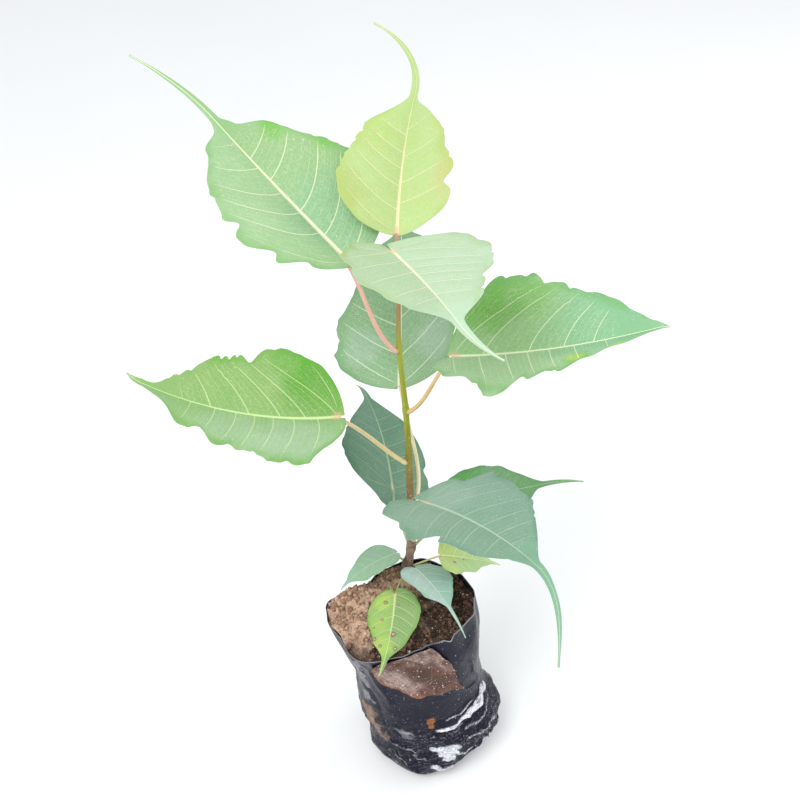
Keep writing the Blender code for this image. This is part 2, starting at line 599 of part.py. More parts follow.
def build_dead_leaf():
    """The dead leaf: a heart-shaped blade against the film, from its base at the upper left to its tip.  What
    would stand over the rim is cut off along it."""
    q = np.linspace(0, 1, 13)[:, None] ** 1.5
    v = np.linspace(0, 1, 6)[None, :]
    half = np.maximum(heart(q, BLADE_RISE, DEAD_LEAF_FALL), DEAD_LEAF_BLUNTNESS) * DEAD_LEAF_WIDTH / 2
    tilt = np.radians(DEAD_LEAF_TILT)
    along = (q - 0.5) * DEAD_LEAF_LENGTH
    under_rim = RIM_HEIGHT - RIM_SAG - DEAD_LEAF_BELOW_RIM - DEAD_LEAF_HEIGHT
    highest = np.minimum(half, (under_rim - along * np.sin(tilt)) / np.cos(tilt))
    up = (highest + half) * v - half
    angle = DEAD_LEAF_ANGLE + np.degrees((along * np.cos(tilt) - up * np.sin(tilt)) / FILM_RADIUS)
    height = DEAD_LEAF_HEIGHT + along * np.sin(tilt) + up * np.cos(tilt)
    surface = bag_point(angle, height, -(FIT_GAP + DEAD_LEAF_LOOSENESS + DEAD_LEAF_THICKNESS / 2))
    finish = material("dead_leaf", (0.14, 0.07, 0.045), 0.8)
    return mesh_object("dead_leaf", *slab(surface, DEAD_LEAF_THICKNESS), finish)


def main():
    """Build every piece of the potted sapling."""
    clear_scene()
    build_bag()
    build_soil()
    build_stem()
    for leaf in LEAVES:
        build_leaf(leaf)
    build_dead_leaf()


main()
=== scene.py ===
"""Looks of the potted bodhi tree sapling: fine surfaces, finishes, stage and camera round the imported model.

Every surface is worked out with numpy from two parameters on a grid, by the same rules as the solids in the
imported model, and carried on to finer detail: wavy and veined blades, ribs, bark, crumpled film and crumbs of
soil.  All lengths are metres and all angles degrees unless a comment says otherwise.
"""

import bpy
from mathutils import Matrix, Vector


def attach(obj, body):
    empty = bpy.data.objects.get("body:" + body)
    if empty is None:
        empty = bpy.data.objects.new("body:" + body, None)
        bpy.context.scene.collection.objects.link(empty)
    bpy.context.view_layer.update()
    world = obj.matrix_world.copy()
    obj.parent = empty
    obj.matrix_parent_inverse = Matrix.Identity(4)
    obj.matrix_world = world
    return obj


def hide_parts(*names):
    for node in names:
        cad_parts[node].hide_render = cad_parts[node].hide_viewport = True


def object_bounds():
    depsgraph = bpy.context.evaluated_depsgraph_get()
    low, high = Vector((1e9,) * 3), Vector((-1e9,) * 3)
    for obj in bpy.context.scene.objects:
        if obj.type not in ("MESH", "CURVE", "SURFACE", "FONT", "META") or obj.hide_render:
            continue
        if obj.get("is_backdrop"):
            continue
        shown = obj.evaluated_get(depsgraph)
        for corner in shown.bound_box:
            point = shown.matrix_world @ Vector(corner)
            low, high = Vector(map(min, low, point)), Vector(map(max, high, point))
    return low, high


bl_info = {
    "name": "Potted Bodhi Sapling",
    "version": (1, 0, 0),
    "blender": (4, 5, 0),
    "location": "View3D > Sidebar > Sapling",
    "description": "Builds the leaves, stem, bag and soil of a potted bodhi tree sapling",
    "category": "Object",
}

from dataclasses import dataclass

import bpy
import numpy as np
from bpy.props import FloatProperty, FloatVectorProperty, IntProperty, PointerProperty
from mathutils import Matrix

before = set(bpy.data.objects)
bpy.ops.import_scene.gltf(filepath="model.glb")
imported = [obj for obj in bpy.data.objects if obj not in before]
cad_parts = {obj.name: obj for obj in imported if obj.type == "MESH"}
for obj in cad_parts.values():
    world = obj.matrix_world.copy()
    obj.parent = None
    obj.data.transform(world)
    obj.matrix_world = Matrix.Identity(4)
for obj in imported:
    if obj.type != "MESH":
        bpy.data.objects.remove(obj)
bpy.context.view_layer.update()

# ------------------------------------------------------------------ the solids' own rules and sizes

MM = 0.001
FIT_GAP = 0.0004             # clearance between a solid and what carries it
SOIL_LEVEL = 0.144
STEM_FOOT = (-0.008, 0.034)
RIM_HEIGHT = 0.149


@dataclass
class BagStation:
    """One level of the bag: an ellipse, pushed sideways as the bag slumps."""
    height: float
    shift_x: float
    shift_y: float
    half_width: float
    half_depth: float


BAG_STATIONS = (
    BagStation(0.000, -0.001, 0.000, 0.035, 0.037),
    BagStation(0.007, 0.000, 0.000, 0.041, 0.041),
    BagStation(0.028, 0.007, 0.002, 0.050, 0.043),
    BagStation(0.050, 0.000, 0.003, 0.048, 0.043),
    BagStation(0.084, -0.003, 0.003, 0.0455, 0.042),
    BagStation(0.122, -0.007, 0.003, 0.0505, 0.042),
    BagStation(0.150, -0.0125, 0.003, 0.0525, 0.042),
)


@dataclass
class MouthDent:
    """A place where the mouth is pushed in (negative) or pulled out, and how far round that reaches."""
    angle: float
    spread: float
    depth: float


MOUTH_DENTS = (
    MouthDent(128, 24, -0.016),
    MouthDent(-115, 14, 0.011),
    MouthDent(-78, 16, -0.003),
)
MOUTH_DEPTH = 0.045          # how far below the rim the dents fade out
RIM_SAG = 0.003              # how far the rim droops over the pulled-out place

SOIL_PAD = 0.0065            # flat round place under the stem
SOIL_EDGE_RISE = 0.0025
SOIL_EDGE_FALL = 0.008
SOIL_LUMP = 0.0015

STEM_HEIGHTS = (0.0, 0.014, 0.028, 0.070, 0.150, 0.200, 0.250)
STEM_BENDS = (0.0, 0.004, 0.0065, 0.008, 0.009, 0.0075, 0.010)
STEM_FOOT_RADIUS = 0.0030
STEM_TIP_RADIUS = 0.0013
STEM_TOP = 0.250
ROOT_FLARE = 0.0016
FLARE_HEIGHT = 0.005
NODE_SWELLING = 0.22         # part of the radius added where a leaf leaves
NODE_SPREAD = 0.0028
BUD_LENGTH = 0.009
BUD_LEAN = 0.1
BUD_SHAPE = ((0.0, 1.0), (0.35, 1.15), (0.7, 0.75), (1.0, 0.25))  # part of its length, of the tip's radius

TAIL_HALF_WIDTH = 0.0028     # half width of the drip tip where it starts
TIP_BLUNTNESS = 0.12
BLADE_RISE = 0.5             # how steeply a blade widens from its base, and how it narrows to its tip
BLADE_FALL = 1.25
LOBE_REACH = 0.35            # the base lobes fade out over this part of the blade
NOTCH = 0.0015               # half width of the notch between the lobes
RIB_SINK = 0.55              # how deep the rib lies below the blade, as a part of its radius

DEAD_LEAF_ANGLE = -76
DEAD_LEAF_HEIGHT = 0.116
DEAD_LEAF_LENGTH = 0.072
DEAD_LEAF_WIDTH = 0.050
DEAD_LEAF_TILT = -48
DEAD_LEAF_FALL = 1.6
DEAD_LEAF_BLUNTNESS = 0.05   # least half width at its base and tip, as a part of the greatest
DEAD_LEAF_BELOW_RIM = 0.0008
FILM_RADIUS = 0.046          # mean radius of the bag, which turns lengths round it into angles


@dataclass
class Leaf:
    """One leaf.  Its pose repeats the solid's: millimetres, and places measured from the stem's foot.  The
    last fields are its looks: colours, and the course of its veins."""
    name: str
    slot: str                # material slot of the record
    node: float              # height on the stem where the stalk leaves
    base: tuple              # where the stalk meets the blade
    heading: float           # direction of the midrib seen from above, anticlockwise from +X
    rise: float              # how steeply the midrib starts upwards
    length: float
    width: float
    tail: float              # length of the drip tip
    bank: float = 0          # roll about the midrib, right side up
    droop: float = 15        # how far the midrib has bent down at the end of the blade
    sweep: float = 0         # how far it has bent to the right there
    tail_droop: float = 0    # the same two for the drip tip
    tail_sweep: float = 0
    fold: float = 20         # how far each half is raised at the midrib
    cup: float = 10          # how far each half bends down towards its margin
    twist: float = 0
    lobe: float = 4          # how far the base lobes reach back past the stalk
    stalk_rise: float = 55   # how steeply the stalk leaves the stem
    stalk_turn: float = 0    # how far round the stem it leaves, from the way to the blade
    stalk: float = 1.1       # radius of the stalk
    # The difference between the two halves' greens is partly painted shade and sky sheen.
    greens_and_shading: tuple = ((0.3, 0.5, 0.2), (0.3, 0.5, 0.2))   # of its left and right half
    deep: tuple = (0.2, 0.4, 0.1)        # between the veins and along the margin
    rib: tuple = (0.74, 0.80, 0.50)      # midrib, and side veins more faintly
    stalk_colour: tuple = (0.5, 0.5, 0.2)
    veins: tuple = (6, 6)    # side veins in one blade length, left and right
    lean: tuple = (0.3, 0.3)  # how far they climb at the midrib for each step sideways, left and right
    arch: tuple = (1.0, 1.0)  # how strongly they bend on to the tip, left and right
    ruffle: float = 2.0      # depth of the waves along the margin
    specks: float = 0.25     # share of the white specks that show
    spots: tuple = ()        # brown spots: lateral and along in blade lengths, and radius in mm
    patches: tuple = ()      # soft tints: lateral, along and radius in blade lengths, share and colour


VIVID = (0.13, 0.42, 0.03)
LIME = (0.40, 0.58, 0.10)
OLIVE = (0.36, 0.40, 0.06)
MINT = (0.50, 0.68, 0.50)
# Dusty grey-green, used partly as painted sky sheen on blade halves seen at a grazing angle.
DUSTY_SHEEN = (0.44, 0.54, 0.48)
SEA = (0.22, 0.46, 0.27)
TAN = (0.56, 0.42, 0.16)

LEAVES = (
    Leaf("leaf_top", "young_leaf", 247, (10.5, -2, 277), 81, 42, 95, 70, 70, droop=25, tail_droop=-20,
         tail_sweep=-65, sweep=5, fold=30, cup=5, twist=15, lobe=2, stalk_rise=60, stalk_turn=150,
         greens_and_shading=((0.44, 0.61, 0.25), (0.44, 0.61, 0.25)), deep=(0.42, 0.52, 0.14), rib=(0.88, 0.76, 0.50),
         stalk_colour=(0.42, 0.17, 0.12), veins=(7.5, 6.0), lean=(0.3, 0.1), arch=(1.1, 0.2), ruffle=1.4,
         specks=0.12,
         patches=((-0.36, 0.20, 0.13, 0.45, OLIVE), (0.36, 0.26, 0.12, 0.45, TAN),
                  (-0.20, 0.62, 0.14, 0.35, LIME), (0.32, 0.46, 0.08, 0.25, OLIVE))),
    Leaf("leaf_upper_left", "leaf", 198, (-18, -13, 268), 135, 28, 130, 95, 75, droop=12, tail_droop=-8,
         tail_sweep=-30, sweep=12, fold=25, cup=15, twist=25, lobe=5, stalk=1.4,
         greens_and_shading=((0.355, 0.53, 0.29), (0.29, 0.45, 0.22)), deep=(0.20, 0.42, 0.13), rib=(0.80, 0.82, 0.54),
         stalk_colour=(0.70, 0.38, 0.30), veins=(6.5, 6.0), lean=(-0.2, 0.15), arch=(2.8, 2.3), ruffle=2.4,
         specks=0.25,
         patches=((0.37, 0.30, 0.10, 0.9, VIVID), (0.33, 0.52, 0.07, 0.9, VIVID),
                  (0.20, 0.74, 0.08, 0.8, VIVID), (0.40, 0.10, 0.09, 0.8, VIVID),
                  (0.10, 0.20, 0.20, 0.5, SEA))),
    Leaf("leaf_centre", "young_leaf", 236, (7, -33, 283), -68, 5, 90, 85, 45, bank=10, droop=0,
         tail_droop=-10, tail_sweep=-10, sweep=8, fold=12, cup=-8, twist=-10, lobe=10,
         greens_and_shading=((0.46, 0.62, 0.44), (0.39, 0.54, 0.35)), deep=(0.36, 0.50, 0.24), rib=(0.84, 0.80, 0.60),
         stalk_colour=(0.62, 0.48, 0.25), veins=(8.0, 6.0), lean=(0.35, 0.6), arch=(1.2, 0.2), ruffle=1.6,
         specks=0.12,
         patches=((0.42, 0.0, 0.14, 0.95, OLIVE), (0.44, 0.16, 0.08, 0.8, OLIVE),
                  (0.0, 1.2, 0.35, 0.7, MINT))),
    Leaf("leaf_right", "leaf", 151, (38, -24, 206), -22, 12, 119, 100, 7, droop=-15, tail_droop=10,
         tail_sweep=20, fold=25, twist=-15, stalk_rise=45, stalk=1.3,
         greens_and_shading=((0.33, 0.52, 0.25), (0.37, 0.54, 0.30)), deep=(0.16, 0.40, 0.11), rib=(0.80, 0.88, 0.58),
         stalk_colour=(0.66, 0.42, 0.18), veins=(5.5, 8.0), lean=(0.2, 0.38), arch=(2.6, 0.2), ruffle=2.6,
         specks=0.55,
         patches=((-0.34, 0.10, 0.20, 0.85, VIVID), (-0.30, 0.36, 0.13, 0.5, VIVID),
                  (-0.10, 0.80, 0.30, 0.8, SEA), (0.19, 0.68, 0.06, 0.9, VIVID),
                  (0.17, 0.66, 0.04, 0.9, LIME), (0.12, 0.84, 0.05, 0.9, LIME))),
    Leaf("leaf_back", "shaded_leaf", 68, (6.5, 28, 149.5), 84, 40, 130, 90, 25, bank=20, droop=25,
         tail_droop=50, tail_sweep=-10, sweep=-12, cup=12, lobe=3, stalk_rise=70, stalk_turn=-60, stalk=1.3,
         greens_and_shading=((0.245, 0.41, 0.205), (0.26, 0.42, 0.22)), deep=(0.17, 0.34, 0.16), rib=(0.72, 0.82, 0.66),
         stalk_colour=(0.68, 0.60, 0.36), veins=(6.0, 6.0), lean=(0.4, 0.4), arch=(0.9, 0.9), specks=0.6,
         patches=((-0.20, 0.20, 0.10, 0.35, DUSTY_SHEEN), (0.22, 0.20, 0.10, 0.4, DUSTY_SHEEN),
                  (0.15, 0.5, 0.10, 0.4, DUSTY_SHEEN))),
    Leaf("leaf_left", "leaf", 109, (-32, -22, 165.5), 187.5, 5, 120, 95, 10, bank=8, droop=-18, tail_sweep=30,
         sweep=24, fold=28, cup=20, twist=5, stalk_rise=50, stalk=1.4,
         greens_and_shading=((0.31, 0.48, 0.23), (0.27, 0.42, 0.15)), deep=(0.14, 0.38, 0.05), rib=(0.64, 0.78, 0.38),
         stalk_colour=(0.70, 0.54, 0.26), veins=(9.5, 6.5), lean=(-0.1, 0.5), arch=(0.7, 2.6), ruffle=2.2,
         specks=0.3,
         patches=((0.30, 0.07, 0.22, 0.95, (0.09, 0.36, 0.02)), (0.13, 0.13, 0.16, 0.6, (0.13, 0.32, 0.05)),
                  (-0.24, 0.22, 0.20, 0.4, DUSTY_SHEEN), (-0.16, 0.52, 0.14, 0.3, DUSTY_SHEEN))),
    Leaf("leaf_lower_left", "shaded_leaf", 28, (-4, 21, 64), 93, 15, 95, 72, 25, bank=-42, droop=20,
         tail_droop=25, tail_sweep=15, fold=15, cup=28, twist=18, lobe=18,
         greens_and_shading=((0.11, 0.23, 0.15), (0.12, 0.25, 0.16)), deep=(0.05, 0.15, 0.08), rib=(0.34, 0.46, 0.30),
         stalk_colour=(0.45, 0.45, 0.25), veins=(7.5, 7.5), lean=(0.4, 0.4), arch=(0.7, 0.7), ruffle=1.2,
         specks=0.35),
    Leaf("leaf_front", "shaded_leaf", 38, (17, -40, 107), -45, 17, 105, 88, 60, bank=17, droop=10,
         tail_droop=60, tail_sweep=48, sweep=18, fold=16, cup=12, twist=-20, lobe=12, stalk=1.2,
         greens_and_shading=((0.22, 0.36, 0.27), (0.20, 0.335, 0.235)), deep=(0.14, 0.28, 0.19), rib=(0.46, 0.58, 0.44),
         stalk_colour=(0.45, 0.42, 0.22), veins=(6.5, 6.0), lean=(0.4, 0.4), arch=(1.0, 0.7), ruffle=1.6,
         specks=0.45,
         patches=((-0.1, 0.10, 0.14, 0.25, DUSTY_SHEEN), (0.30, 0.2, 0.16, 0.1, DUSTY_SHEEN), (0.0, 1.3, 0.4, 0.6, SEA))),
    Leaf("leaf_right_back", "leaf", 26, (38, 26, 43), -7, 14, 68, 64, 27, bank=-5, droop=5, tail_droop=25,
         sweep=-8, fold=8, cup=20, lobe=9, stalk_rise=10, stalk=1.0,
         greens_and_shading=((0.16, 0.33, 0.15), (0.16, 0.33, 0.15)), deep=(0.05, 0.24, 0.04), rib=(0.44, 0.58, 0.34),
         stalk_colour=(0.42, 0.40, 0.20), veins=(6, 6), ruffle=1.0, specks=0.9,
         patches=((-0.30, 0.2, 0.16, 0.8, (0.06, 0.30, 0.03)),)),
    Leaf("small_leaf_left", "shaded_leaf", 13, (-5, 3, 18), 200, 0, 41, 37, 6, bank=-25, droop=28,
         tail_droop=14, sweep=3, fold=10, twist=20, lobe=2, stalk_rise=30, stalk=0.7,
         greens_and_shading=((0.32, 0.50, 0.35), (0.30, 0.48, 0.34)), deep=(0.18, 0.38, 0.18), rib=(0.56, 0.68, 0.50),
         stalk_colour=(0.45, 0.45, 0.22), veins=(5, 5), ruffle=0.7, specks=0.2),
    Leaf("small_leaf_front", "shaded_leaf", 5, (8, -7, 12), -54, 3, 43, 40, 24, bank=25, droop=16,
         tail_droop=5, tail_sweep=8, sweep=4, fold=12, twist=-8, lobe=2, stalk_rise=35, stalk=0.7,
         greens_and_shading=((0.30, 0.47, 0.40), (0.44, 0.57, 0.54)), deep=(0.22, 0.42, 0.30), rib=(0.68, 0.76, 0.64),
         stalk_colour=(0.45, 0.45, 0.22), veins=(5, 5), ruffle=0.7, specks=0.3),
    Leaf("small_leaf_right", "young_leaf", 8, (27, -2, 18), 4, -15, 41, 36, 6, bank=-10, droop=15,
         tail_sweep=10, fold=18, lobe=2, stalk_rise=25, stalk=0.7,
         greens_and_shading=((0.50, 0.62, 0.24), (0.54, 0.66, 0.28)), deep=(0.34, 0.50, 0.10), rib=(0.86, 0.82, 0.36),
         stalk_colour=(0.50, 0.45, 0.18), veins=(5, 5), ruffle=0.9, specks=0.3,
         patches=((0.15, 0.60, 0.36, 0.85, (0.40, 0.60, 0.32)),),
         spots=((0.16, 0.22, 1.2), (0.06, 0.4, 0.8))),
    Leaf("small_leaf_low", "young_leaf", 4, (-7, -30, 12), -95, -8, 52, 37, 10, bank=-8, droop=0,
         tail_sweep=10, sweep=12, fold=5, cup=20, lobe=5, stalk_rise=25, stalk=0.7,
         greens_and_shading=((0.24, 0.36, 0.15), (0.32, 0.48, 0.13)), deep=(0.16, 0.36, 0.06), rib=(0.60, 0.68, 0.34),
         stalk_colour=(0.50, 0.50, 0.20), veins=(6, 6), ruffle=0.8, specks=0.2,
         patches=((0.16, 0.10, 0.12, 0.9, LIME), (0.20, 0.46, 0.12, 0.5, LIME),
                  (0.10, 0.78, 0.16, 0.7, LIME)),
         spots=((0.12, 0.12, 1.5), (0.14, 0.38, 1.2), (-0.04, 0.60, 2.0), (0.20, 0.68, 1.5),
                (-0.06, 0.16, 0.9), (0.10, 0.78, 1.2), (-0.10, 0.80, 1.5), (0.24, 0.50, 0.9))),
)

# How each blade departs from a plain heart, on its left and on its right: the place along the blade, how far
# round that it reaches, and how far the margin stands out there (positive) or is drawn in, in half widths.
MARGINS = {
    "leaf_top": (
        ((0.72, 0.10, 0.14), (1.08, 0.08, 0.20)),
        ((0.02, 0.03, -0.12), (0.12, 0.04, 0.06), (0.25, 0.025, -0.12), (0.33, 0.03, 0.05),
         (0.45, 0.04, -0.06), (0.68, 0.08, 0.08), (0.93, 0.05, -0.20)),
    ),
    "leaf_upper_left": (
        ((0.07, 0.015, -0.16), (0.108, 0.018, 0.10), (0.165, 0.02, -0.13), (0.25, 0.03, 0.09),
         (0.33, 0.02, -0.12), (0.39, 0.025, 0.05), (0.62, 0.08, 0.06), (0.82, 0.04, 0.22),
         (0.91, 0.03, -0.20)),
        ((0.05, 0.03, -0.08), (0.42, 0.03, -0.04), (0.77, 0.05, 0.12), (0.87, 0.03, -0.20)),
    ),
    "leaf_centre": (
        ((0.03, 0.04, 0.08), (0.27, 0.08, -0.06), (0.55, 0.05, 0.05), (0.64, 0.02, -0.10),
         (0.86, 0.07, 0.48)),
        ((0.13, 0.08, -0.26), (0.37, 0.05, -0.16), (0.57, 0.04, 0.14), (0.70, 0.04, 0.14),
         (0.83, 0.04, 0.45)),
    ),
    "leaf_right": (
        ((0.16, 0.08, 0.13), (0.37, 0.04, 0.08), (0.54, 0.03, 0.06), (0.63, 0.04, 0.06),
         (0.74, 0.04, 0.20), (0.85, 0.05, 0.55), (0.96, 0.04, 1.00)),
        ((0.01, 0.02, 0.40), (0.20, 0.04, -0.14), (0.39, 0.05, 0.26), (0.455, 0.02, -0.26),
         (0.55, 0.03, -0.16), (0.64, 0.03, 0.12), (0.70, 0.03, -0.16), (0.80, 0.04, -0.26)),
    ),
    "leaf_back": (
        ((0.08, 0.06, 0.07), (0.52, 0.12, -0.10), (0.83, 0.04, 0.20), (0.90, 0.03, -0.25)),
        ((0.08, 0.04, 0.12), (0.79, 0.04, 0.22)),
    ),
    "leaf_left": (
        ((0.09, 0.04, -0.10), (0.20, 0.05, 0.10), (0.42, 0.04, -0.04), (0.57, 0.03, 0.16),
         (0.65, 0.025, -0.12), (0.76, 0.04, 0.32), (0.88, 0.03, -0.10)),
        ((0.20, 0.10, -0.05), (0.49, 0.03, -0.19), (0.72, 0.08, 0.22), (0.86, 0.03, 0.16),
         (0.94, 0.03, -0.30)),
    ),
    "leaf_lower_left": (
        ((0.005, 0.01, 0.16), (0.04, 0.02, -0.10), (0.13, 0.03, 0.10), (0.30, 0.06, 0.08)),
        ((0.15, 0.03, 0.06), (0.27, 0.03, -0.12), (0.50, 0.04, -0.04), (0.72, 0.04, 0.10)),
    ),
    "leaf_front": (
        ((0.10, 0.02, -0.18), (0.15, 0.02, 0.20), (0.42, 0.07, -0.10), (0.90, 0.08, 0.08),
         (1.18, 0.08, -0.30)),
        ((0.00, 0.015, 0.50), (0.08, 0.04, 0.10), (0.21, 0.03, -0.06), (0.40, 0.03, 0.13),
         (0.47, 0.02, -0.22), (0.58, 0.04, -0.05), (0.75, 0.06, 0.18)),
    ),
    "leaf_right_back": (
        ((0.57, 0.05, 0.08), (0.95, 0.04, 0.10)),
        ((0.79, 0.04, 0.20), (0.91, 0.03, -0.30)),
    ),
    "small_leaf_left": (
        ((0.28, 0.07, -0.14), (0.75, 0.12, 0.38)),
        ((0.04, 0.03, -0.24), (0.20, 0.06, 0.10), (0.70, 0.06, -0.10), (0.90, 0.06, 0.40)),
    ),
    "small_leaf_front": (
        ((0.10, 0.04, -0.14), (0.85, 0.08, 0.12)),
        ((0.73, 0.06, 0.40),),
    ),
    "small_leaf_right": (
        (),
        ((0.02, 0.03, 0.26), (0.40, 0.08, -0.16), (0.74, 0.06, -0.22)),
    ),
    "small_leaf_low": (
        ((0.80, 0.10, 0.32),),
        ((0.00, 0.03, -0.12), (0.78, 0.08, 0.22)),
    ),
}

# Small bites that insects took out of the margin, in the same terms.
NICKS = {
    "leaf_left": (
        ((0.17, 0.01, 0.05), (0.26, 0.012, -0.06), (0.34, 0.01, 0.04), (0.40, 0.008, -0.05),
         (0.50, 0.014, -0.05), (0.70, 0.01, 0.05)),
        ((0.57, 0.006, -0.07), (0.61, 0.008, -0.09), (0.655, 0.006, -0.07), (0.79, 0.007, -0.10),
         (0.84, 0.01, -0.14), (0.88, 0.006, -0.10)),
    ),
    "leaf_front": (
        ((0.55, 0.01, -0.04), (0.70, 0.008, -0.05)),
        ((0.86, 0.01, -0.10),),
    ),
    "leaf_upper_left": (
        ((0.50, 0.008, -0.03),),
        ((0.55, 0.01, -0.03),),
    ),
    "leaf_centre": (
        ((0.76, 0.008, -0.10), (0.45, 0.008, -0.04)),
        ((0.30, 0.008, -0.05),),
    ),
    "leaf_top": (
        ((0.24, 0.014, 0.03), (0.33, 0.01, -0.03), (0.42, 0.012, 0.03), (0.52, 0.01, -0.04),
         (0.60, 0.008, -0.05), (0.66, 0.01, 0.03)),
        ((0.38, 0.01, -0.04), (0.56, 0.012, 0.03)),
    ),
    "leaf_right": (
        ((0.22, 0.01, -0.04), (0.30, 0.012, 0.03), (0.43, 0.01, -0.03), (0.58, 0.01, -0.05)),
        ((0.10, 0.012, 0.04), (0.28, 0.01, -0.05), (0.34, 0.01, 0.04), (0.60, 0.008, -0.06)),
    ),
    "leaf_back": (
        ((0.18, 0.012, 0.03), (0.26, 0.01, -0.03), (0.38, 0.014, 0.03)),
        ((0.20, 0.012, -0.03), (0.30, 0.012, 0.03)),
    ),
}

# ------------------------------------------------------------------ numbers, noise and curves

def together(*parts):
    """Arrays of one shape, or that spread over each other, joined along a new last axis."""
    return np.stack(np.broadcast_arrays(*parts), axis=-1)


def unit(vector):
    """Vectors along the last axis, divided by their lengths."""
    return vector / np.linalg.norm(vector, axis=-1, keepdims=True)


def direction(heading, rise=0.0):
    """Unit vectors by two angles in degrees: seen from above, anticlockwise from +X, and how steeply up."""
    heading, rise = np.radians(heading), np.radians(rise)
    return together(np.cos(heading) * np.cos(rise), np.sin(heading) * np.cos(rise), np.sin(rise))


def aimed(heading, rise, roll):
    """Vectors to the right of a direction, along it and above it, rolled about it with the right side up."""
    along, level = direction(heading, rise), direction(np.asarray(heading) - 90)
    above = np.cross(level, along)
    roll = np.radians(roll)[..., None]
    right = level * np.cos(roll) + above * np.sin(roll)
    return right, along, np.cross(right, along)


def smooth_through(x, knots, values):
    """A smooth curve through the knots: cubic pieces whose slopes are the means of their neighbours'."""
    x = np.asarray(x, float)
    knots, values = np.asarray(knots, float), np.asarray(values, float)
    slopes = np.gradient(values, knots)
    piece = np.clip(np.searchsorted(knots, x) - 1, 0, len(knots) - 2)
    span = knots[piece + 1] - knots[piece]
    t = np.clip((x - knots[piece]) / span, 0, 1)
    start, end = values[piece], values[piece + 1]
    return ((2 * t**3 - 3 * t**2 + 1) * start + (t**3 - 2 * t**2 + t) * span * slopes[piece]
            + (3 * t**2 - 2 * t**3) * end + (t**3 - t**2) * span * slopes[piece + 1])


def bump(x, centre, spread):
    """A bell curve of height one."""
    return np.exp(-0.5 * ((x - centre) / spread) ** 2)


def ease(x, low, high):
    """A step from 0 at low to 1 at high, flat at both ends: 3t squared minus 2t cubed."""
    t = np.clip((x - low) / (high - low), 0, 1)
    return t * t * (3 - 2 * t)


def wrapped(angle, centre):
    """Difference of two angles in degrees, between -180 and 180."""
    return (angle - centre + 180) % 360 - 180


def lattice(cells, seed):
    """A repeatable number from 0 to 1 for each whole-number cell: its three coordinates and the seed are
    multiplied by large odd numbers and their bits are mixed."""
    x, y, z = (cells[..., axis].astype(np.int64) for axis in range(3))
    mixed = (x * 374761393 + y * 668265263 + z * 1103515245 + seed * 362437) & 0xFFFFFFFF
    mixed = ((mixed ^ (mixed >> 13)) * 1274126177) & 0xFFFFFFFF
    return (mixed ^ (mixed >> 16)) / 0xFFFFFFFF


def noise(points, seed=0):
    """Smooth noise from -1 to 1: the numbers at the eight corners of each unit cell, blended by an eased
    step along each axis."""
    cell = np.floor(points).astype(np.int64)
    t = ease(points - cell, 0, 1)
    total = 0.0
    for corner in np.ndindex(2, 2, 2):
        weight = np.prod(np.where(np.array(corner) == 1, t, 1 - t), axis=-1)
        total = total + weight * lattice(cell + np.array(corner), seed)
    return 2 * total - 1


def fractal(points, octaves, seed=0):
    """Noise summed over octaves, each twice as fine and half as high as the one before."""
    return sum(noise(points * 2**step, seed + step) / 2**step for step in range(octaves))


def noise_vector(points, octaves, seed):
    """Three fractals of neighbouring seeds, joined into a vector."""
    return together(*(fractal(points, octaves, seed + axis) for axis in range(3)))


def creased(points, octaves, seed):
    """Noise folded at its zero, from about 0 to 1."""
    return np.abs(fractal(points, octaves, seed))


# ------------------------------------------------------------------ meshes

def grid_faces(rows, columns, closed=False):
    """Quads of a grid of points stored row by row; closed joins the last column to the first."""
    index = np.arange(rows * columns).reshape(rows, columns)
    if closed:
        index = np.concatenate([index, index[:, :1]], axis=1)
    return together(index[:-1, :-1], index[:-1, 1:], index[1:, 1:], index[1:, :-1]).reshape(-1, 4)


def ring_faces(rows, sides):
    """Faces of a closed skin over equal rings, anticlockwise seen along the way they run: quads between the
    rings and a flat cap at both ends."""
    first = np.arange(sides)[::-1][None]
    last = (rows - 1) * sides + np.arange(sides)[None]
    return [grid_faces(rows, sides, closed=True), first, last]


def shell(surface, thickness):
    """Points and faces of a closed sheet: the grid moved half the thickness both ways along its normals,
    with a strip of quads round the border.  The normal is across-the-rows crossed with along-the-rows."""
    rows, columns = surface.shape[:2]
    normal = unit(np.cross(np.gradient(surface, axis=1), np.gradient(surface, axis=0)))
    half = normal * np.broadcast_to(thickness, (rows, columns))[..., None] / 2
    points = np.concatenate([(surface + half).reshape(-1, 3), (surface - half).reshape(-1, 3)])
    upper = grid_faces(rows, columns)
    under = rows * columns
    index = np.arange(under).reshape(rows, columns)
    border = np.concatenate([index[0], index[1:, -1], index[-1, -2::-1], index[-2:0:-1, 0]])
    following = np.roll(border, -1)
    edge = together(following, border, border + under, following + under)
    return points, [upper, upper[:, ::-1] + under, edge]


def tube(path, radii, sides):
    """Points and faces of a closed round tube: circles across the path, each turned as little as possible
    from the one before, with a flat cap at both ends."""
    tangents = unit(np.gradient(path, axis=0))
    side = unit(np.cross(tangents[0], (0.31, 0.17, 0.93)))
    angles = np.linspace(0, 2 * np.pi, sides, endpoint=False)
    rings = []
    for point, tangent, radius in zip(path, tangents, radii):
        side = unit(side - tangent * (side @ tangent))
        other = np.cross(tangent, side)
        rings.append(point + radius * (np.outer(np.cos(angles), side) + np.outer(np.sin(angles), other)))
    return np.concatenate(rings), ring_faces(len(path), sides)


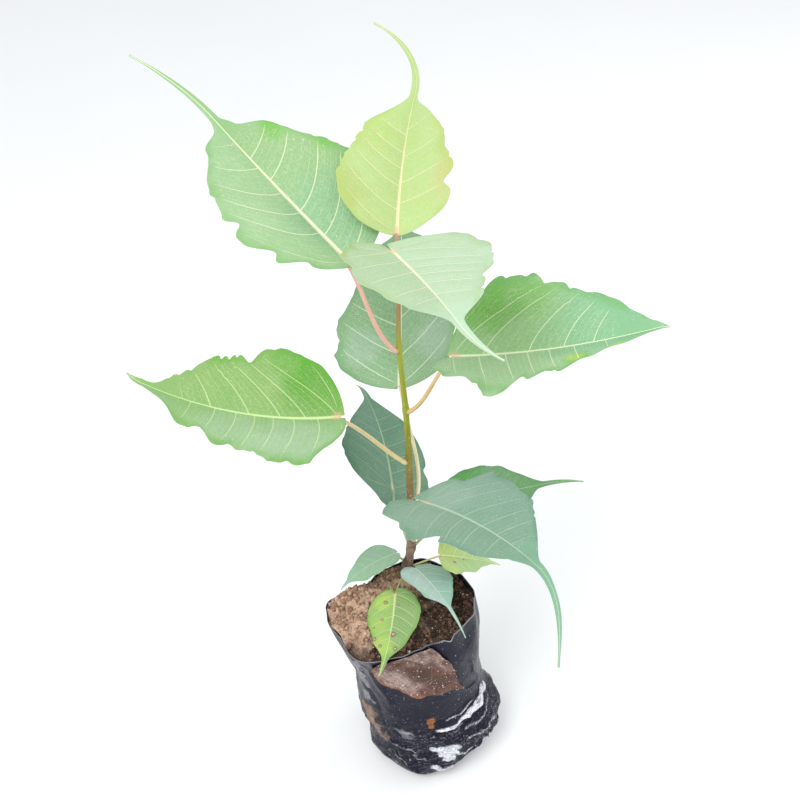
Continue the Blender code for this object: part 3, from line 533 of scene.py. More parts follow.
def new_piece(name, points, face_sets, material, slot, uv=None, values=None):
    """Make a smooth-shaded object at the origin from points and arrays of faces, and hang it on the root.

    uv gives each point's place in the map named Surface, and values holds one number a point for each named
    attribute.
    """
    mesh = bpy.data.meshes.new(name)
    corners = np.concatenate([faces.ravel() for faces in face_sets]).astype(np.int32)
    sizes = np.concatenate([np.full(len(faces), faces.shape[1]) for faces in face_sets])
    mesh.vertices.add(points.size // 3)
    mesh.vertices.foreach_set("co", np.asarray(points, np.float32).ravel())
    mesh.loops.add(len(corners))
    mesh.loops.foreach_set("vertex_index", corners)
    mesh.polygons.add(len(sizes))
    mesh.polygons.foreach_set("loop_start", (np.cumsum(sizes) - sizes).astype(np.int32))
    mesh.update(calc_edges=True)
    if mesh.validate(verbose=False):
        raise RuntimeError(f"{name}: the mesh had faces that had to be mended")
    if uv is not None:
        layer = mesh.uv_layers.new(name="Surface")
        layer.uv.foreach_set("vector", np.asarray(uv, np.float32)[corners].ravel())
    for label, numbers in (values or {}).items():
        layer = mesh.attributes.new(label, "FLOAT", "POINT")
        layer.data.foreach_set("value", np.asarray(numbers, np.float32).ravel())
    mesh.shade_smooth()
    mesh.materials.append(material)
    piece = bpy.data.objects.new(name, mesh)
    bpy.context.scene.collection.objects.link(piece)
    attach(piece, "root")
    return piece


def new_sheet(name, surface, thickness, material, slot, uv, **values):
    """A piece made of a closed sheet, whose map and attributes are given on the grid of its middle surface.
    The attribute underside is 1 on the lower face."""
    points, faces = shell(surface, thickness)
    grid = surface.shape[:2]
    both = {label: np.tile(np.broadcast_to(numbers, grid).ravel(), 2) for label, numbers in values.items()}
    both["underside"] = np.repeat((0.0, 1.0), grid[0] * grid[1])
    return new_piece(name, points, faces, material, slot, np.tile(together(*uv).reshape(-1, 2), (2, 1)), both)


# ------------------------------------------------------------------ node trees

class Signal:
    """What a node gives.  Sums and products with other signals and numbers add Math nodes, and an index
    picks another output of the same node."""

    def __init__(self, tree, socket):
        self.tree = tree
        self.socket = socket

    def __getitem__(self, label):
        return Signal(self.tree, self.socket.node.outputs[label])

    def __add__(self, other):
        return self.tree.maths("ADD", self, other)

    def __sub__(self, other):
        return self.tree.maths("SUBTRACT", self, other)

    def __rsub__(self, other):
        return self.tree.maths("SUBTRACT", other, self)

    def __mul__(self, other):
        return self.tree.maths("MULTIPLY", self, other)

    def __truediv__(self, other):
        return self.tree.maths("DIVIDE", self, other)

    def __rtruediv__(self, other):
        return self.tree.maths("DIVIDE", other, self)

    def __abs__(self):
        return self.tree.maths("ABSOLUTE", self)


class Tree:
    """A node tree with short ways to add nodes.  A source is a signal, a number, a vector or a colour."""

    def __init__(self, tree):
        self.tree = tree

    def add(self, kind, sources=(), **settings):
        """Add a node, set its own settings and feed its inputs, by name or in their order."""
        node = self.tree.nodes.new(kind)
        for label, setting in settings.items():
            setattr(node, label, setting)
        labelled = sources if isinstance(sources, dict) else dict(enumerate(sources))
        for label, source in labelled.items():
            self.feed(node.inputs[label], source)
        return Signal(self, node.outputs[0])

    def feed(self, socket, source):
        """Join a socket to a signal, or set its value."""
        if isinstance(source, Signal):
            self.tree.links.new(source.socket, socket)
        elif socket.type == "RGBA" and len(source) == 3:
            socket.default_value = (*source, 1.0)
        else:
            socket.default_value = source

    def maths(self, operation, *sources):
        """The result of a Math node."""
        return self.add("ShaderNodeMath", sources, operation=operation)

    def step(self, value, low, high):
        """A smooth step from 0 at low to 1 at high."""
        return self.add("ShaderNodeMapRange", (value, low, high), interpolation_type="SMOOTHSTEP")

    def blend(self, share, first, second):
        """Two colours mixed, with this share of the second."""
        return self.add("ShaderNodeMix", {0: share, 6: first, 7: second}, data_type="RGBA")[2]

    def noise(self, vector, scale, detail=3.0, distortion=0.0):
        """The value of a Noise texture."""
        sources = {"Vector": vector, "Scale": scale, "Detail": detail, "Distortion": distortion}
        return self.add("ShaderNodeTexNoise", sources)["Fac"]

    def cells(self, vector, scale, feature="F1"):
        """The distances in a Voronoi texture."""
        sources = {"Vector": vector, "Scale": scale}
        return self.add("ShaderNodeTexVoronoi", sources, feature=feature)["Distance"]

    def attribute(self, label):
        """The number that the piece holds under this name."""
        return self.add("ShaderNodeAttribute", attribute_name=label)["Fac"]

    def surface(self):
        """The piece's own map."""
        return self.add("ShaderNodeUVMap", uv_map="Surface")

    def place(self):
        """Object coordinates."""
        return self.add("ShaderNodeTexCoord")["Object"]

    def ramp(self, value, *stops):
        """Colours by value: (place, colour) stops."""
        ramp = self.add("ShaderNodeValToRGB", [value])
        elements = ramp.socket.node.color_ramp.elements
        while len(elements) < len(stops):
            elements.new(0.5)
        for element, (position, colour) in zip(elements, stops):
            element.position = position
            element.color = (*colour, 1.0)
        return ramp

    def bumps(self, height, distance, strength):
        """A normal tilted by a height, which the distance turns into metres."""
        return self.add("ShaderNodeBump", {"Height": height, "Distance": distance, "Strength": strength})

    def group(self, build, **sources):
        """A shared node group, fed by name; an underscore in a name stands for a space."""
        labelled = {label.replace("_", " "): source for label, source in sources.items()}
        return self.add("ShaderNodeGroup", labelled, node_tree=build())

    def mottle(self, vector, scale, contrast):
        """Cloudy patches from 0 to 1."""
        return self.group(mottle_group, Vector=vector, Scale=scale, Contrast=contrast)

    def specks(self, vector, scale, size, share):
        """Small round specks."""
        return self.group(speck_group, Vector=vector, Scale=scale, Size=size, Share=share)

    def patch(self, vector, centre, radius, ragged, scale, softness=0.2):
        """One ragged patch."""
        return self.group(patch_group, Vector=vector, Centre=centre, Radius=radius, Ragged=ragged,
                          Scale=scale, Softness=softness)

    def patches(self, vector, rows, ragged, scale):
        """Layers that are soft patches on a map, from rows of x, y, radius, share and tint."""
        for x, y, radius, share, shade in rows:
            yield self.patch(vector, (x, y, 0.0), radius, ragged, scale, softness=0.5), share, shade

    def layers(self, colour, *layers):
        """A colour under layers: each is a mask, the share that shows where the mask is whole, and a tint."""
        for mask, share, shade in layers:
            colour = self.blend(mask * share, colour, shade)
        return colour


def shared_group(name, **inputs):
    """Turn a function that fills a node group into one that gives the group, made once and then shared.  It
    is handed the group's tree and inputs, and gives its outputs by name.  Each input has its usual number,
    or None for a vector, and an underscore in its name stands for a space."""
    def decorate(fill):
        def shared():
            if name in bpy.data.node_groups:
                return bpy.data.node_groups[name]
            group = bpy.data.node_groups.new(name, "ShaderNodeTree")
            for label, usual in inputs.items():
                kind = "NodeSocketVector" if usual is None else "NodeSocketFloat"
                socket = group.interface.new_socket(label.replace("_", " "), in_out="INPUT", socket_type=kind)
                if usual is not None:
                    socket.default_value = usual
            tree = Tree(group)
            results = fill(tree, tree.add("NodeGroupInput"))
            for label in results:
                group.interface.new_socket(label, in_out="OUTPUT", socket_type="NodeSocketFloat")
            given_out = group.nodes.new("NodeGroupOutput")
            for label, result in results.items():
                tree.feed(given_out.inputs[label], result)
            return group
        return shared
    return decorate


@shared_group("Mottle", Vector=None, Scale=5.0, Contrast=2.0)
def mottle_group(tree, given):
    """Cloudy patches: noise pulled apart about its middle by the contrast."""
    cloud = tree.noise(given["Vector"], given["Scale"], detail=4.0, distortion=0.4)
    reach = 0.5 / given["Contrast"]
    return {"Value": tree.step(cloud, 0.5 - reach, reach + 0.5)}


@shared_group("Specks", Vector=None, Scale=50.0, Size=0.2, Share=0.3)
def speck_group(tree, given):
    """Small round specks: one in each cell of a Voronoi texture, of uneven size, of which a share shows."""
    away = tree.cells(given["Vector"], given["Scale"])
    chance = tree.add("ShaderNodeSeparateColor", [away["Color"]])
    size = given["Size"] * (chance["Green"] + 0.3)
    shown = tree.maths("LESS_THAN", chance["Red"], given["Share"])
    return {"Mask": tree.step(away, size, size * 0.5) * shown}


@shared_group("Patch", Vector=None, Centre=None, Radius=0.01, Ragged=0.3, Scale=5.0, Softness=0.2)
def patch_group(tree, given):
    """One ragged patch: distance from its centre, made uneven by noise, against its radius."""
    away = tree.add("ShaderNodeVectorMath", (given["Vector"], given["Centre"]), operation="DISTANCE")["Value"]
    rough = (tree.noise(given["Vector"], given["Scale"]) - 0.5) * (given["Ragged"] * 4.0)
    uneven = rough + away / given["Radius"]
    return {"Mask": tree.step(uneven, given["Softness"] + 1.0, 1.0 - given["Softness"])}


@shared_group("Leaf veins", Blade=None, Vein=0.0, Rate=6.0, Strength=1.0, Rib_width=0.012, Vein_width=0.006)
def vein_group(tree, given):
    """Veins of a blade.  Vein counts side veins along the midrib, so a vein lies wherever it is whole, and
    finer ones between them; the net is cells drawn out between them; the midrib follows the middle.  Rate is
    the number of veins in one blade length, which turns their widths in blade lengths into parts of a space.
    All but the midrib fade with the strength."""
    blade = tree.add("ShaderNodeSeparateXYZ", [given["Blade"]])
    rib = given["Rib width"] * (tree.step(blade["Y"], 1.1, -0.4) + 0.22)
    shown = tree.step(given["Strength"], 0.03, 0.40)
    space = given["Vein width"] * given["Rate"] * (given["Strength"] * 0.7 + 0.3)

    def lines(times, share):
        whole = tree.maths("FRACT", given["Vein"] * times)
        wide = space * (times * share)
        return tree.step(0.5 - abs(whole - 0.5), wide, wide * 0.35) * shown

    along_veins = tree.add("ShaderNodeCombineXYZ", (given["Vein"] * 7.0, blade["X"] * 60.0))
    net = tree.step(tree.cells(along_veins, 1.0, "DISTANCE_TO_EDGE"), 0.12, 0.02)
    return {"Midrib": tree.step(abs(blade["X"]), rib, rib * 0.45), "Veins": lines(1.0, 1.0),
            "Fine veins": lines(4.0, 0.5), "Net": net * shown}


def dimmed(colour, part):
    """A colour with this part of its light left."""
    return tuple(part * value for value in colour)


def new_material(name, **plain):
    """A Principled material with these plain socket values.  Gives its tree, and a function that feeds the
    shader's other sockets by name and gives the material."""
    material = bpy.data.materials.new(name)
    material.use_nodes = True
    tree = Tree(material.node_tree)
    sockets = material.node_tree.nodes["Principled BSDF"].inputs

    def finish(**sources):
        for label, source in sources.items():
            tree.feed(sockets[label.replace("_", " ")], source)
        return material

    finish(**plain)
    return tree, finish


# ------------------------------------------------------------------ settings

def tint(name, description, *default):
    """A colour setting."""
    return FloatVectorProperty(name=name, description=description, default=default, subtype="COLOR", size=3)


def length(name, description, default, **limits):
    """A length setting, in metres."""
    return FloatProperty(name=name, description=description, default=default, unit="LENGTH", precision=5,
                         **limits)


def part_of(name, description, default):
    """A setting that is a part of another size."""
    return FloatProperty(name=name, description=description, default=default, subtype="FACTOR")


def amount(name, description, default):
    """A plain number; its description names its unit."""
    return FloatProperty(name=name, description=description, default=default)


class LeafSettings(bpy.types.PropertyGroup):
    """Sizes and colours that all leaves share."""
    thickness: length("Blade thickness", "Thickness of a large leaf's blade", 0.00045, min=0.0001)
    quilting: length("Quilting", "How far the blade swells between its side veins", 0.00022)
    scallop: part_of("Scallops", "Unevenness of the margin, of half the width", 0.032)
    junction: tint("Junction", "Where the stalk meets the blade", 0.80, 0.45, 0.30)
    underside: tint("Underside", "Paler lower face of a blade", 0.42, 0.55, 0.34)
    speck: tint("Specks", "Dry water marks and dust", 0.80, 0.84, 0.80)
    spot: tint("Spots", "Brown spots", 0.22, 0.08, 0.07)
    spot_centre: tint("Spot centres", "Dry centres of the spots", 0.58, 0.38, 0.40)


class StemSettings(bpy.types.PropertyGroup):
    """Sizes and colours of the stem's bark."""
    ridge: part_of("Ridges", "Height of the bark's fine ridges, of the radius", 0.05)
    foot_colour: tint("Foot", "Oldest bark", 0.13, 0.075, 0.05)
    low_colour: tint("Lower stem", "Bark below the middle", 0.18, 0.115, 0.018)
    middle_colour: tint("Middle", "Green bark at mid height", 0.30, 0.34, 0.025)
    top_colour: tint("Top", "Youngest bark", 0.34, 0.20, 0.09)


class BagSettings(bpy.types.PropertyGroup):
    """Sizes and colours of the bag and of the dead leaf on it."""
    film: length("Film thickness", "Thickness of the polythene", 0.0004, min=0.0001)
    crumple: length("Crumples", "Depth of the sharp folds all over the film", 0.0009)
    pucker: length("Puckers", "Depth of the small sharp folds low on the right", 0.0011)
    ragged: length("Ragged rim", "Unevenness of the rim", 0.0012)
    # Near-black film; its blue tint is a painted sky reflection.
    colour: tint("Film", "Black polythene", 0.005, 0.005, 0.016)
    # White painted as glints along the creases and the folds' edges, and in the pale streaks low down.
    glinting: tint("Stretched film", "Film stretched white along its creases", 0.74, 0.75, 0.80)
    # This pale colour is also painted along the rim, partly as a highlight of the cut edge.
    dust: tint("Dust", "Dried splashes and dust", 0.56, 0.54, 0.58)
    mud: tint("Mud", "Dried mud", 0.40, 0.26, 0.18)
    stain: tint("Stain", "Rusty stain on the front", 0.36, 0.14, 0.04)
    dead_pale: tint("Dead leaf, pale", "Bleached part of the dead leaf", 0.44, 0.33, 0.29)
    dead_dark: tint("Dead leaf, dark", "Rotten middle of the dead leaf", 0.07, 0.035, 0.025)
    dead_red: tint("Dead leaf, red", "Dry tip of the dead leaf", 0.21, 0.095, 0.07)


class SoilSettings(bpy.types.PropertyGroup):
    """Sizes, colours and counts of the soil and its crumbs."""
    clod: length("Clods", "Height of the clods", 0.0014)
    crumbs: IntProperty(name="Crumbs", description="Loose crumbs on the surface", default=1500, min=1)
    flecks: IntProperty(name="Flecks", description="Pale flecks on the surface", default=260, min=1)
    pale: tint("Dry soil", "Dry crust", 0.80, 0.55, 0.40)
    dark: tint("Moist soil", "Soil in the hollows", 0.018, 0.009, 0.007)
    earth: tint("Earth", "Darker crumbs on the crust", 0.46, 0.27, 0.18)
    crumb: tint("Moist crumbs", "Paler crumbs on the moist soil", 0.115, 0.056, 0.037)
    fleck: tint("Fleck", "Chalky grains", 0.72, 0.62, 0.52)


class StageSettings(bpy.types.PropertyGroup):
    """The camera, the floor and the lights."""
    pitch: amount("Pitch", "How far the camera looks down, degrees", 38.0)
    roll: amount("Roll", "How far the camera leans, degrees", 4.0)
    lens: amount("Lens", "Focal length in millimetres", 45.0)
    eye: FloatVectorProperty(
        name="Camera place", description="Where the camera stands", default=(-0.0022, -0.4586, 0.6876),
        subtype="TRANSLATION", size=3)
    floor: tint("Floor", "Pale floor", 0.92, 0.92, 0.92)
    sky: amount("Sky", "Strength of the even light", 0.93)
    key: amount("Key light", "Power of the main softbox in watts", 19.0)
    fill: amount("Fill light", "Power of the side softbox in watts", 8.0)
    glint: amount("Glint", "Power of the small low softbox that glints in the film, in watts", 0.4)


class SaplingSettings(bpy.types.PropertyGroup):
    """All settings of the sapling."""
    leaf: PointerProperty(type=LeafSettings)
    stem: PointerProperty(type=StemSettings)
    bag: PointerProperty(type=BagSettings)
    soil: PointerProperty(type=SoilSettings)
    stage: PointerProperty(type=StageSettings)


# ------------------------------------------------------------------ stem

STEM_ROWS = 430
BUD_ROWS = 40
STEM_SIDES = 72
STEM_SUNK = 0.002            # how far the foot reaches into the loose soil
ROOT_LOBES = 0.16            # depth of the three lobes at the foot, as a part of the radius
BARK_ROUND, BARK_UP = 3, 55  # how fine the bark's noise is, round the stem and along it
CUSHION_ARC = 38             # how far round the stem the cushion under a stalk reaches, degrees
# What goes round the stem at a node: how far above it, its spread, and its height as a part of the radius.
CUSHION = (-0.0008, 0.0014, 0.20)
SHEATH_MARKS = ((0.0022, 0.00035, -0.12), (0.0030, 0.0004, 0.07))

CORK = (0.36, 0.27, 0.20)
PORE = (0.55, 0.44, 0.30)


def stem_axis(height):
    """Centre of the stem at a height above the soil."""
    bend = smooth_through(height, STEM_HEIGHTS, STEM_BENDS)
    return together(STEM_FOOT[0] + bend, STEM_FOOT[1], SOIL_LEVEL + np.asarray(height))


def stem_radius(height):
    """Radius of the stem: an even taper, a root flare, and a swelling at each node."""
    height = np.asarray(height, float)
    radius = STEM_FOOT_RADIUS + (STEM_TIP_RADIUS - STEM_FOOT_RADIUS) * (height / STEM_TOP) ** 0.8
    swelling = sum(bump(height, leaf.node * MM, NODE_SPREAD) for leaf in LEAVES)
    flare = ROOT_FLARE * np.exp(-height / FLARE_HEIGHT)
    return radius * (1 + NODE_SWELLING * np.minimum(swelling, 1)) + flare


def build_stem(stem):
    """The stem and its bud: level circles about the bent axis.  The radius is the solid's, times one plus
    fine ridges along the bark, grooves where the leaf sheaths were, a cushion under each stalk and lobes at
    the foot."""
    height = np.linspace(0, STEM_TOP, STEM_ROWS)
    part = np.linspace(0, 1, BUD_ROWS + 1)[1:]
    bud = stem_axis(STEM_TOP) + together(BUD_LEAN * part, 0, part) * BUD_LENGTH
    axis = np.concatenate([stem_axis(height), bud])
    axis[0, 2] -= STEM_SUNK
    radius = np.concatenate([stem_radius(height), STEM_TIP_RADIUS * smooth_through(part, *zip(*BUD_SHAPE))])
    level = np.concatenate([height, STEM_TOP + part * BUD_LENGTH])[:, None]
    turn = np.linspace(0, 2 * np.pi, STEM_SIDES, endpoint=False)

    place = together(np.cos(turn) * BARK_ROUND, np.sin(turn) * BARK_ROUND, level * BARK_UP)
    long_ridges = fractal(place * (2.2, 2.2, 1.0), 3, seed=3)
    ridges = (long_ridges + 0.4 * noise(place * (1.0, 1.0, 4.5), seed=9)) * ease(level, STEM_TOP, 0)
    lobes = np.cos(3 * turn + 0.8) * np.exp(-level / FLARE_HEIGHT)
    relief = stem.ridge * ridges + ROOT_LOBES * lobes
    for leaf in LEAVES:
        above = level - leaf.node * MM
        toward = stalk_heading(leaf, leaf_base(leaf)[:2] - STEM_FOOT)
        around = bump(wrapped(np.degrees(turn), toward), 0, CUSHION_ARC)
        for (middle, spread, rise), reach in ((CUSHION, around), *((mark, 1) for mark in SHEATH_MARKS)):
            relief = relief + rise * reach * bump(above, middle, spread)
    size = radius[:, None] * (1 + relief)
    points = axis[:, None] + together(size * np.cos(turn), size * np.sin(turn), 0)
    piece = new_piece("stem", points, ring_faces(len(axis), STEM_SIDES), bark_material(stem), "bark",
                      values={"height": level + 0 * turn, "grain": np.clip(0.5 + ridges * 0.5, 0, 1)})
    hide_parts("trunk")


def bark_material(stem):
    """Thin bark: coloured by height, darker in its furrows, with pale corky pores and scaly patches low
    down."""
    tree, finish = new_material("bark", Roughness=0.6, Specular_IOR_Level=0.35)
    height = tree.attribute("height") / STEM_TOP
    wander = tree.noise(tree.place(), 70.0) - 0.5
    colour = tree.ramp(wander * 0.12 + height, (0.0, stem.foot_colour), (0.14, stem.foot_colour),
                       (0.36, stem.low_colour), (0.58, stem.middle_colour), (0.78, stem.middle_colour),
                       (0.93, stem.top_colour))
    furrow = tree.step(tree.attribute("grain"), 0.55, 0.15)
    cork = tree.mottle(tree.place(), scale=260.0, contrast=4.0)
    pores = tree.specks(tree.place(), scale=620.0, size=0.42, share=0.3)
    colour = tree.layers(colour, (furrow, 0.55, stem.foot_colour),
                         (cork * tree.step(height, 0.55, 0.05), 0.5, CORK), (pores, 0.7, PORE))
    return finish(Base_Color=colour, Normal=tree.bumps(cork + pores, distance=0.00012, strength=0.7))


# ------------------------------------------------------------------ leaves

def leaf_frame(leaf):
    """Rows: right side, midrib and upper face of the blade at its base, in the part's frame."""
    return np.stack(aimed(leaf.heading, leaf.rise, leaf.bank))


def leaf_base(leaf):
    """Where the stalk meets the blade, in the part's frame."""
    return np.array([*STEM_FOOT, SOIL_LEVEL]) + np.array(leaf.base) * MM


def stalk_heading(leaf, way):
    """The angle at which the stalk leaves the stem: the way to its blade, turned."""
    return np.degrees(np.arctan2(way[1], way[0])) + leaf.stalk_turn


def midrib(leaf, travel):
    """Points and frames along the midrib, bent, swept and twisted evenly over the blade and over its tip."""
    blade = np.clip(travel / (leaf.length * MM), 0, 1)
    tip = np.clip((travel - leaf.length * MM) / (leaf.tail * MM), 0, 1)
    yaw = leaf.sweep * blade + leaf.tail_sweep * tip
    pitch = -(leaf.droop * blade + leaf.tail_droop * tip)
    right, along, upper = aimed(90 - yaw, pitch, leaf.twist * blade)
    steps = np.diff(travel)[:, None] * (along[1:] + along[:-1]) / 2
    points = np.concatenate([np.zeros((1, 3)), np.cumsum(steps, axis=0)])
    return points, along, right, upper


def heart(q, rise, fall):
    """Half width of a heart shape, as a part of the greatest, at the place q from its base to its tip."""
    widest = rise / (rise + fall)
    return (q / widest) ** rise * ((1 - q) / (1 - widest)) ** fall


def blade_half_width(leaf, travel):
    """Half width along the midrib: a heart-shaped blade that runs out into a long narrow tip."""
    q = np.clip(travel / (leaf.length * MM), 0, 1)
    blade = heart(q, BLADE_RISE, BLADE_FALL) * leaf.width * MM / 2
    past = np.clip(1 - (travel - leaf.length * MM) / (leaf.tail * MM), TIP_BLUNTNESS, 1) ** 0.7
    tail = TAIL_HALF_WIDTH * np.where(q < 1, np.clip(3 * q, 0, 1), past) * min(1, leaf.length / 80)
    return np.hypot(blade, tail)


FAN_STEP = 30                # degrees between the veins that spread into the base lobes
UNEVEN = 0.16                # how far a side vein stands from its even place, in spaces between veins
WANDER = 10                  # how fast that changes along the blade, radians in one length


def vein_count(leaf, lateral, station):
    """The number of side veins passed on the way up the blade, at a lateral distance and a station along it,
    both in blade lengths: the station less the vein's climb, times the veins in one length, made uneven.
    Below the first vein it counts down by the angle about the base, so that veins spread into the lobes.

    Also gives how many veins lie in one blade length there, measured square to them.
    """
    number, lean, arch = (np.where(lateral < 0, *pair) for pair in (leaf.veins, leaf.lean, leaf.arch))
    out = np.abs(lateral)
    passed = station - lean * out - arch * out**2
    phase = WANDER * passed + np.where(lateral < 0, 0.0, 2.1) + leaf.node
    first = np.arctan2(1, lean + arch * out)
    below = (np.arctan2(out, station) - first) / np.radians(FAN_STEP)
    upward = number * np.maximum(passed, 0) + UNEVEN * np.sin(phase) * ease(passed, 0.0, 0.12)
    rate = (number + UNEVEN * WANDER * np.cos(phase)) * np.hypot(1, lean + 2 * arch * out)
    fan_rate = 1 / (np.radians(FAN_STEP) * np.maximum(np.hypot(out, station), 0.02))
    return np.where(passed > 0, upward, -np.maximum(below, 0)), np.where(passed > 0, rate, fan_rate)


SMALL_LEAF = 60              # a blade shorter than this has a coarser grid and relatively wider veins
SMALL_GRID = (90, 61)        # rows along the blade, and columns across it
LARGE_GRID = (170, 111)
TAIL_ROW = 1.6               # length of the drip tip for each of its rows


def blade_grid(leaf):
    """Travel along the midrib and place across it for the blade's fine grid: rows closer at the base, and
    columns closer at the midrib."""
    rows, columns = SMALL_GRID if leaf.length < SMALL_LEAF else LARGE_GRID
    tail_rows = max(6, round(leaf.tail / TAIL_ROW))
    blade = leaf.length * MM * np.linspace(0, 1, rows) ** 1.35
    tail = leaf.length * MM + leaf.tail * MM * np.linspace(0, 1, tail_rows + 1)[1:]
    part = np.linspace(-1, 1, columns)
    return np.concatenate([blade, tail]), np.sign(part) * np.abs(part) ** 1.25


def margin_swell(table, leaf, travel, across):
    """How far the blade swells towards its margin, in half widths: bumps along it, by the cube of the place
    across."""
    place = travel[:, None] / (leaf.length * MM)
    left, right = (sum((height * bump(place, centre, spread) for centre, spread, height in side), 0 * place)
                   for side in table.get(leaf.name, ((), ())))
    return np.where(across < 0, left, right) * np.abs(across)**3


WAVE = 0.035                 # length of the slow waves along a margin
RIPPLE = 0.012
TOOTH = 0.005
SAG = 0.8 * MM               # depth of the soft hollows in a large blade
SAG_PITCH = 45               # how many of them lie in a metre


def blade_surface(leaf, settings):
    """Middle surface of the blade.  Each half bends out from the midrib along an arc, raised by the fold and
    turned down by the cup, its margin swells by its own table, and its base is drawn back into a lobe, as in
    the solid.  The margin is then cut a little by noise, the blade is quilted between its side veins, and
    slow waves and short ripples that grow towards the margin lift and lower it.

    Also gives the lateral place and the station in blade lengths, the vein count and its rate, the place
    across, and how far the blade is wide enough for side veins.
    """
    travel, across = blade_grid(leaf)
    points, along, right, upper = midrib(leaf, travel)
    whole = leaf.length * MM
    width = leaf.width * MM
    fade = np.clip(1 - travel / (LOBE_REACH * whole), 0, 1)[:, None] ** 2
    sign, side = np.sign(across), np.abs(across)
    half = blade_half_width(leaf, travel)[:, None]
    back = leaf.lobe * MM * side**1.3 * fade
    plain = (side * half + NOTCH * side * fade) * (1 + margin_swell(MARGINS, leaf, travel, across))
    station = (travel[:, None] - back) / whole
    count, rate = vein_count(leaf, sign * plain / whole, station)

    seed = sum(map(ord, leaf.name))
    body = ease(half, 0.10 * width, 0.30 * width)
    size = min(1, leaf.length / 90)

    def uneven(step, number):
        return noise(together(station * whole / (step * size) + 9.5 * sign, 3.7 * sign, 0), seed + number)

    cut = settings.scallop * (uneven(RIPPLE, 3) * side**4 + uneven(TOOTH, 4) * side**8) * body
    reach = plain * (1 + cut + margin_swell(NICKS, leaf, travel, across))
    bend = np.radians(leaf.cup) * reach / (width / 2)
    slope = np.radians(leaf.fold) - bend / 2
    chord = reach * np.sinc(bend / 2 / np.pi)
    quilt = -settings.quilting * size * np.cos(2 * np.pi * count) * np.sin(np.pi * side**0.8) * body
    hollows = noise(together(sign * plain, station * whole, 0) * SAG_PITCH, seed + 5)
    sag = SAG * size * hollows * np.sin(np.pi * side**1.2)
    wave = uneven(WAVE, 1) * side**2.2 + 0.55 * uneven(RIPPLE, 2) * side**5
    lift = chord * np.sin(slope) + quilt + body * (sag + leaf.ruffle * MM * wave)
    surface = (points[:, None] + (sign * chord * np.cos(slope))[..., None] * right[:, None]
               + lift[..., None] * upper[:, None] - back[..., None] * along[:, None])
    return surface, sign * reach / whole, station, count, rate, side, body


STALK_SIDES = 16
STALK_STEPS = 60
RIB_STEPS = 90
STALK_ENDS = (1.12, 0.86)    # a stalk's radius at the stem and at the blade, in parts of the leaf's own
RIB_START, RIB_END = 0.82, 0.10      # the same for the rib it runs on as
NODE_KNOB, BLADE_KNOB = 0.30, 0.16   # how far the stalk swells at its two ends, as a part of its radius
LEAVING_PULL, ARRIVING_PULL = 0.35, 0.3   # how far it keeps its direction from each end, of the way between
ARRIVING_SHARE = 0.25        # share of the midrib's direction in the way it arrives


def stalk_path(leaf, sink):
    """The stalk's centre line: out from the stem, then in one curve up to the blade's base.  It starts just
    inside the bark."""
    node = stem_axis(leaf.node * MM)
    base = leaf_base(leaf) - leaf_frame(leaf)[2] * sink
    radius = leaf.stalk * MM
    heading = stalk_heading(leaf, base - node)
    out, leaving = direction(heading), direction(heading, leaf.stalk_rise)
    start = node + out * (stem_radius(leaf.node * MM) + FIT_GAP + radius * leaving[2])
    span = np.linalg.norm(base - start)
    arriving = unit(ARRIVING_SHARE * leaf_frame(leaf)[1] + (1 - ARRIVING_SHARE) * unit(base - start))
    first, last = start + leaving * span * LEAVING_PULL, base - arriving * span * ARRIVING_PULL
    t = np.linspace(0, 1, STALK_STEPS)[:, None]
    curve = (1 - t)**3 * start + 3 * t * (1 - t)**2 * first + 3 * t**2 * (1 - t) * last + t**3 * base
    root = start - leaving * radius * 1.2 - out * FIT_GAP * 2
    return np.concatenate([root + (start - root) * np.linspace(0, 0.8, 4)[:, None], curve])


def build_stalk(leaf, settings):
    """The stalk and the rib it runs on as, under the blade to its tip: a round tube that narrows evenly, with
    a swelling at the stem and another where the blade begins."""
    radius = leaf.stalk * MM
    sink = RIB_SINK * radius
    travel = np.linspace(0, (leaf.length + 0.7 * leaf.tail) * MM, RIB_STEPS)
    points, _, _, upper = midrib(leaf, travel)
    taper = RIB_END + (RIB_START - RIB_END) * (1 - travel / travel[-1]) ** 1.3
    depth = sink * taper[:, None] / taper[0]
    rib = ((points - upper * depth) @ leaf_frame(leaf) + leaf_base(leaf))[1:]
    stalk = stalk_path(leaf, sink)
    run = np.concatenate([np.linspace(0, 1, len(stalk)), 1 + travel[1:] / travel[-1]])
    thick = np.concatenate([np.linspace(*STALK_ENDS, len(stalk)), taper[1:]])
    thick = thick * (1 + NODE_KNOB * bump(run, 0.0, 0.035) + BLADE_KNOB * bump(run, 1.0, 0.03))
    points, faces = tube(np.concatenate([stalk, rib]), radius * thick, STALK_SIDES)
    piece = new_piece(leaf.name + "_stalk", points, faces, stalk_material(leaf, settings), leaf.slot,
                      values={"run": np.repeat(run, STALK_SIDES)})
    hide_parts(leaf.name)


STALK_HIGHLIGHT = (0.9, 0.85, 0.6)
RIB_WIDTH, VEIN_WIDTH = 0.0165, 0.0047   # in blade lengths
SMALL_RIB_WIDTH, SMALL_VEIN_WIDTH = 0.022, 0.0085


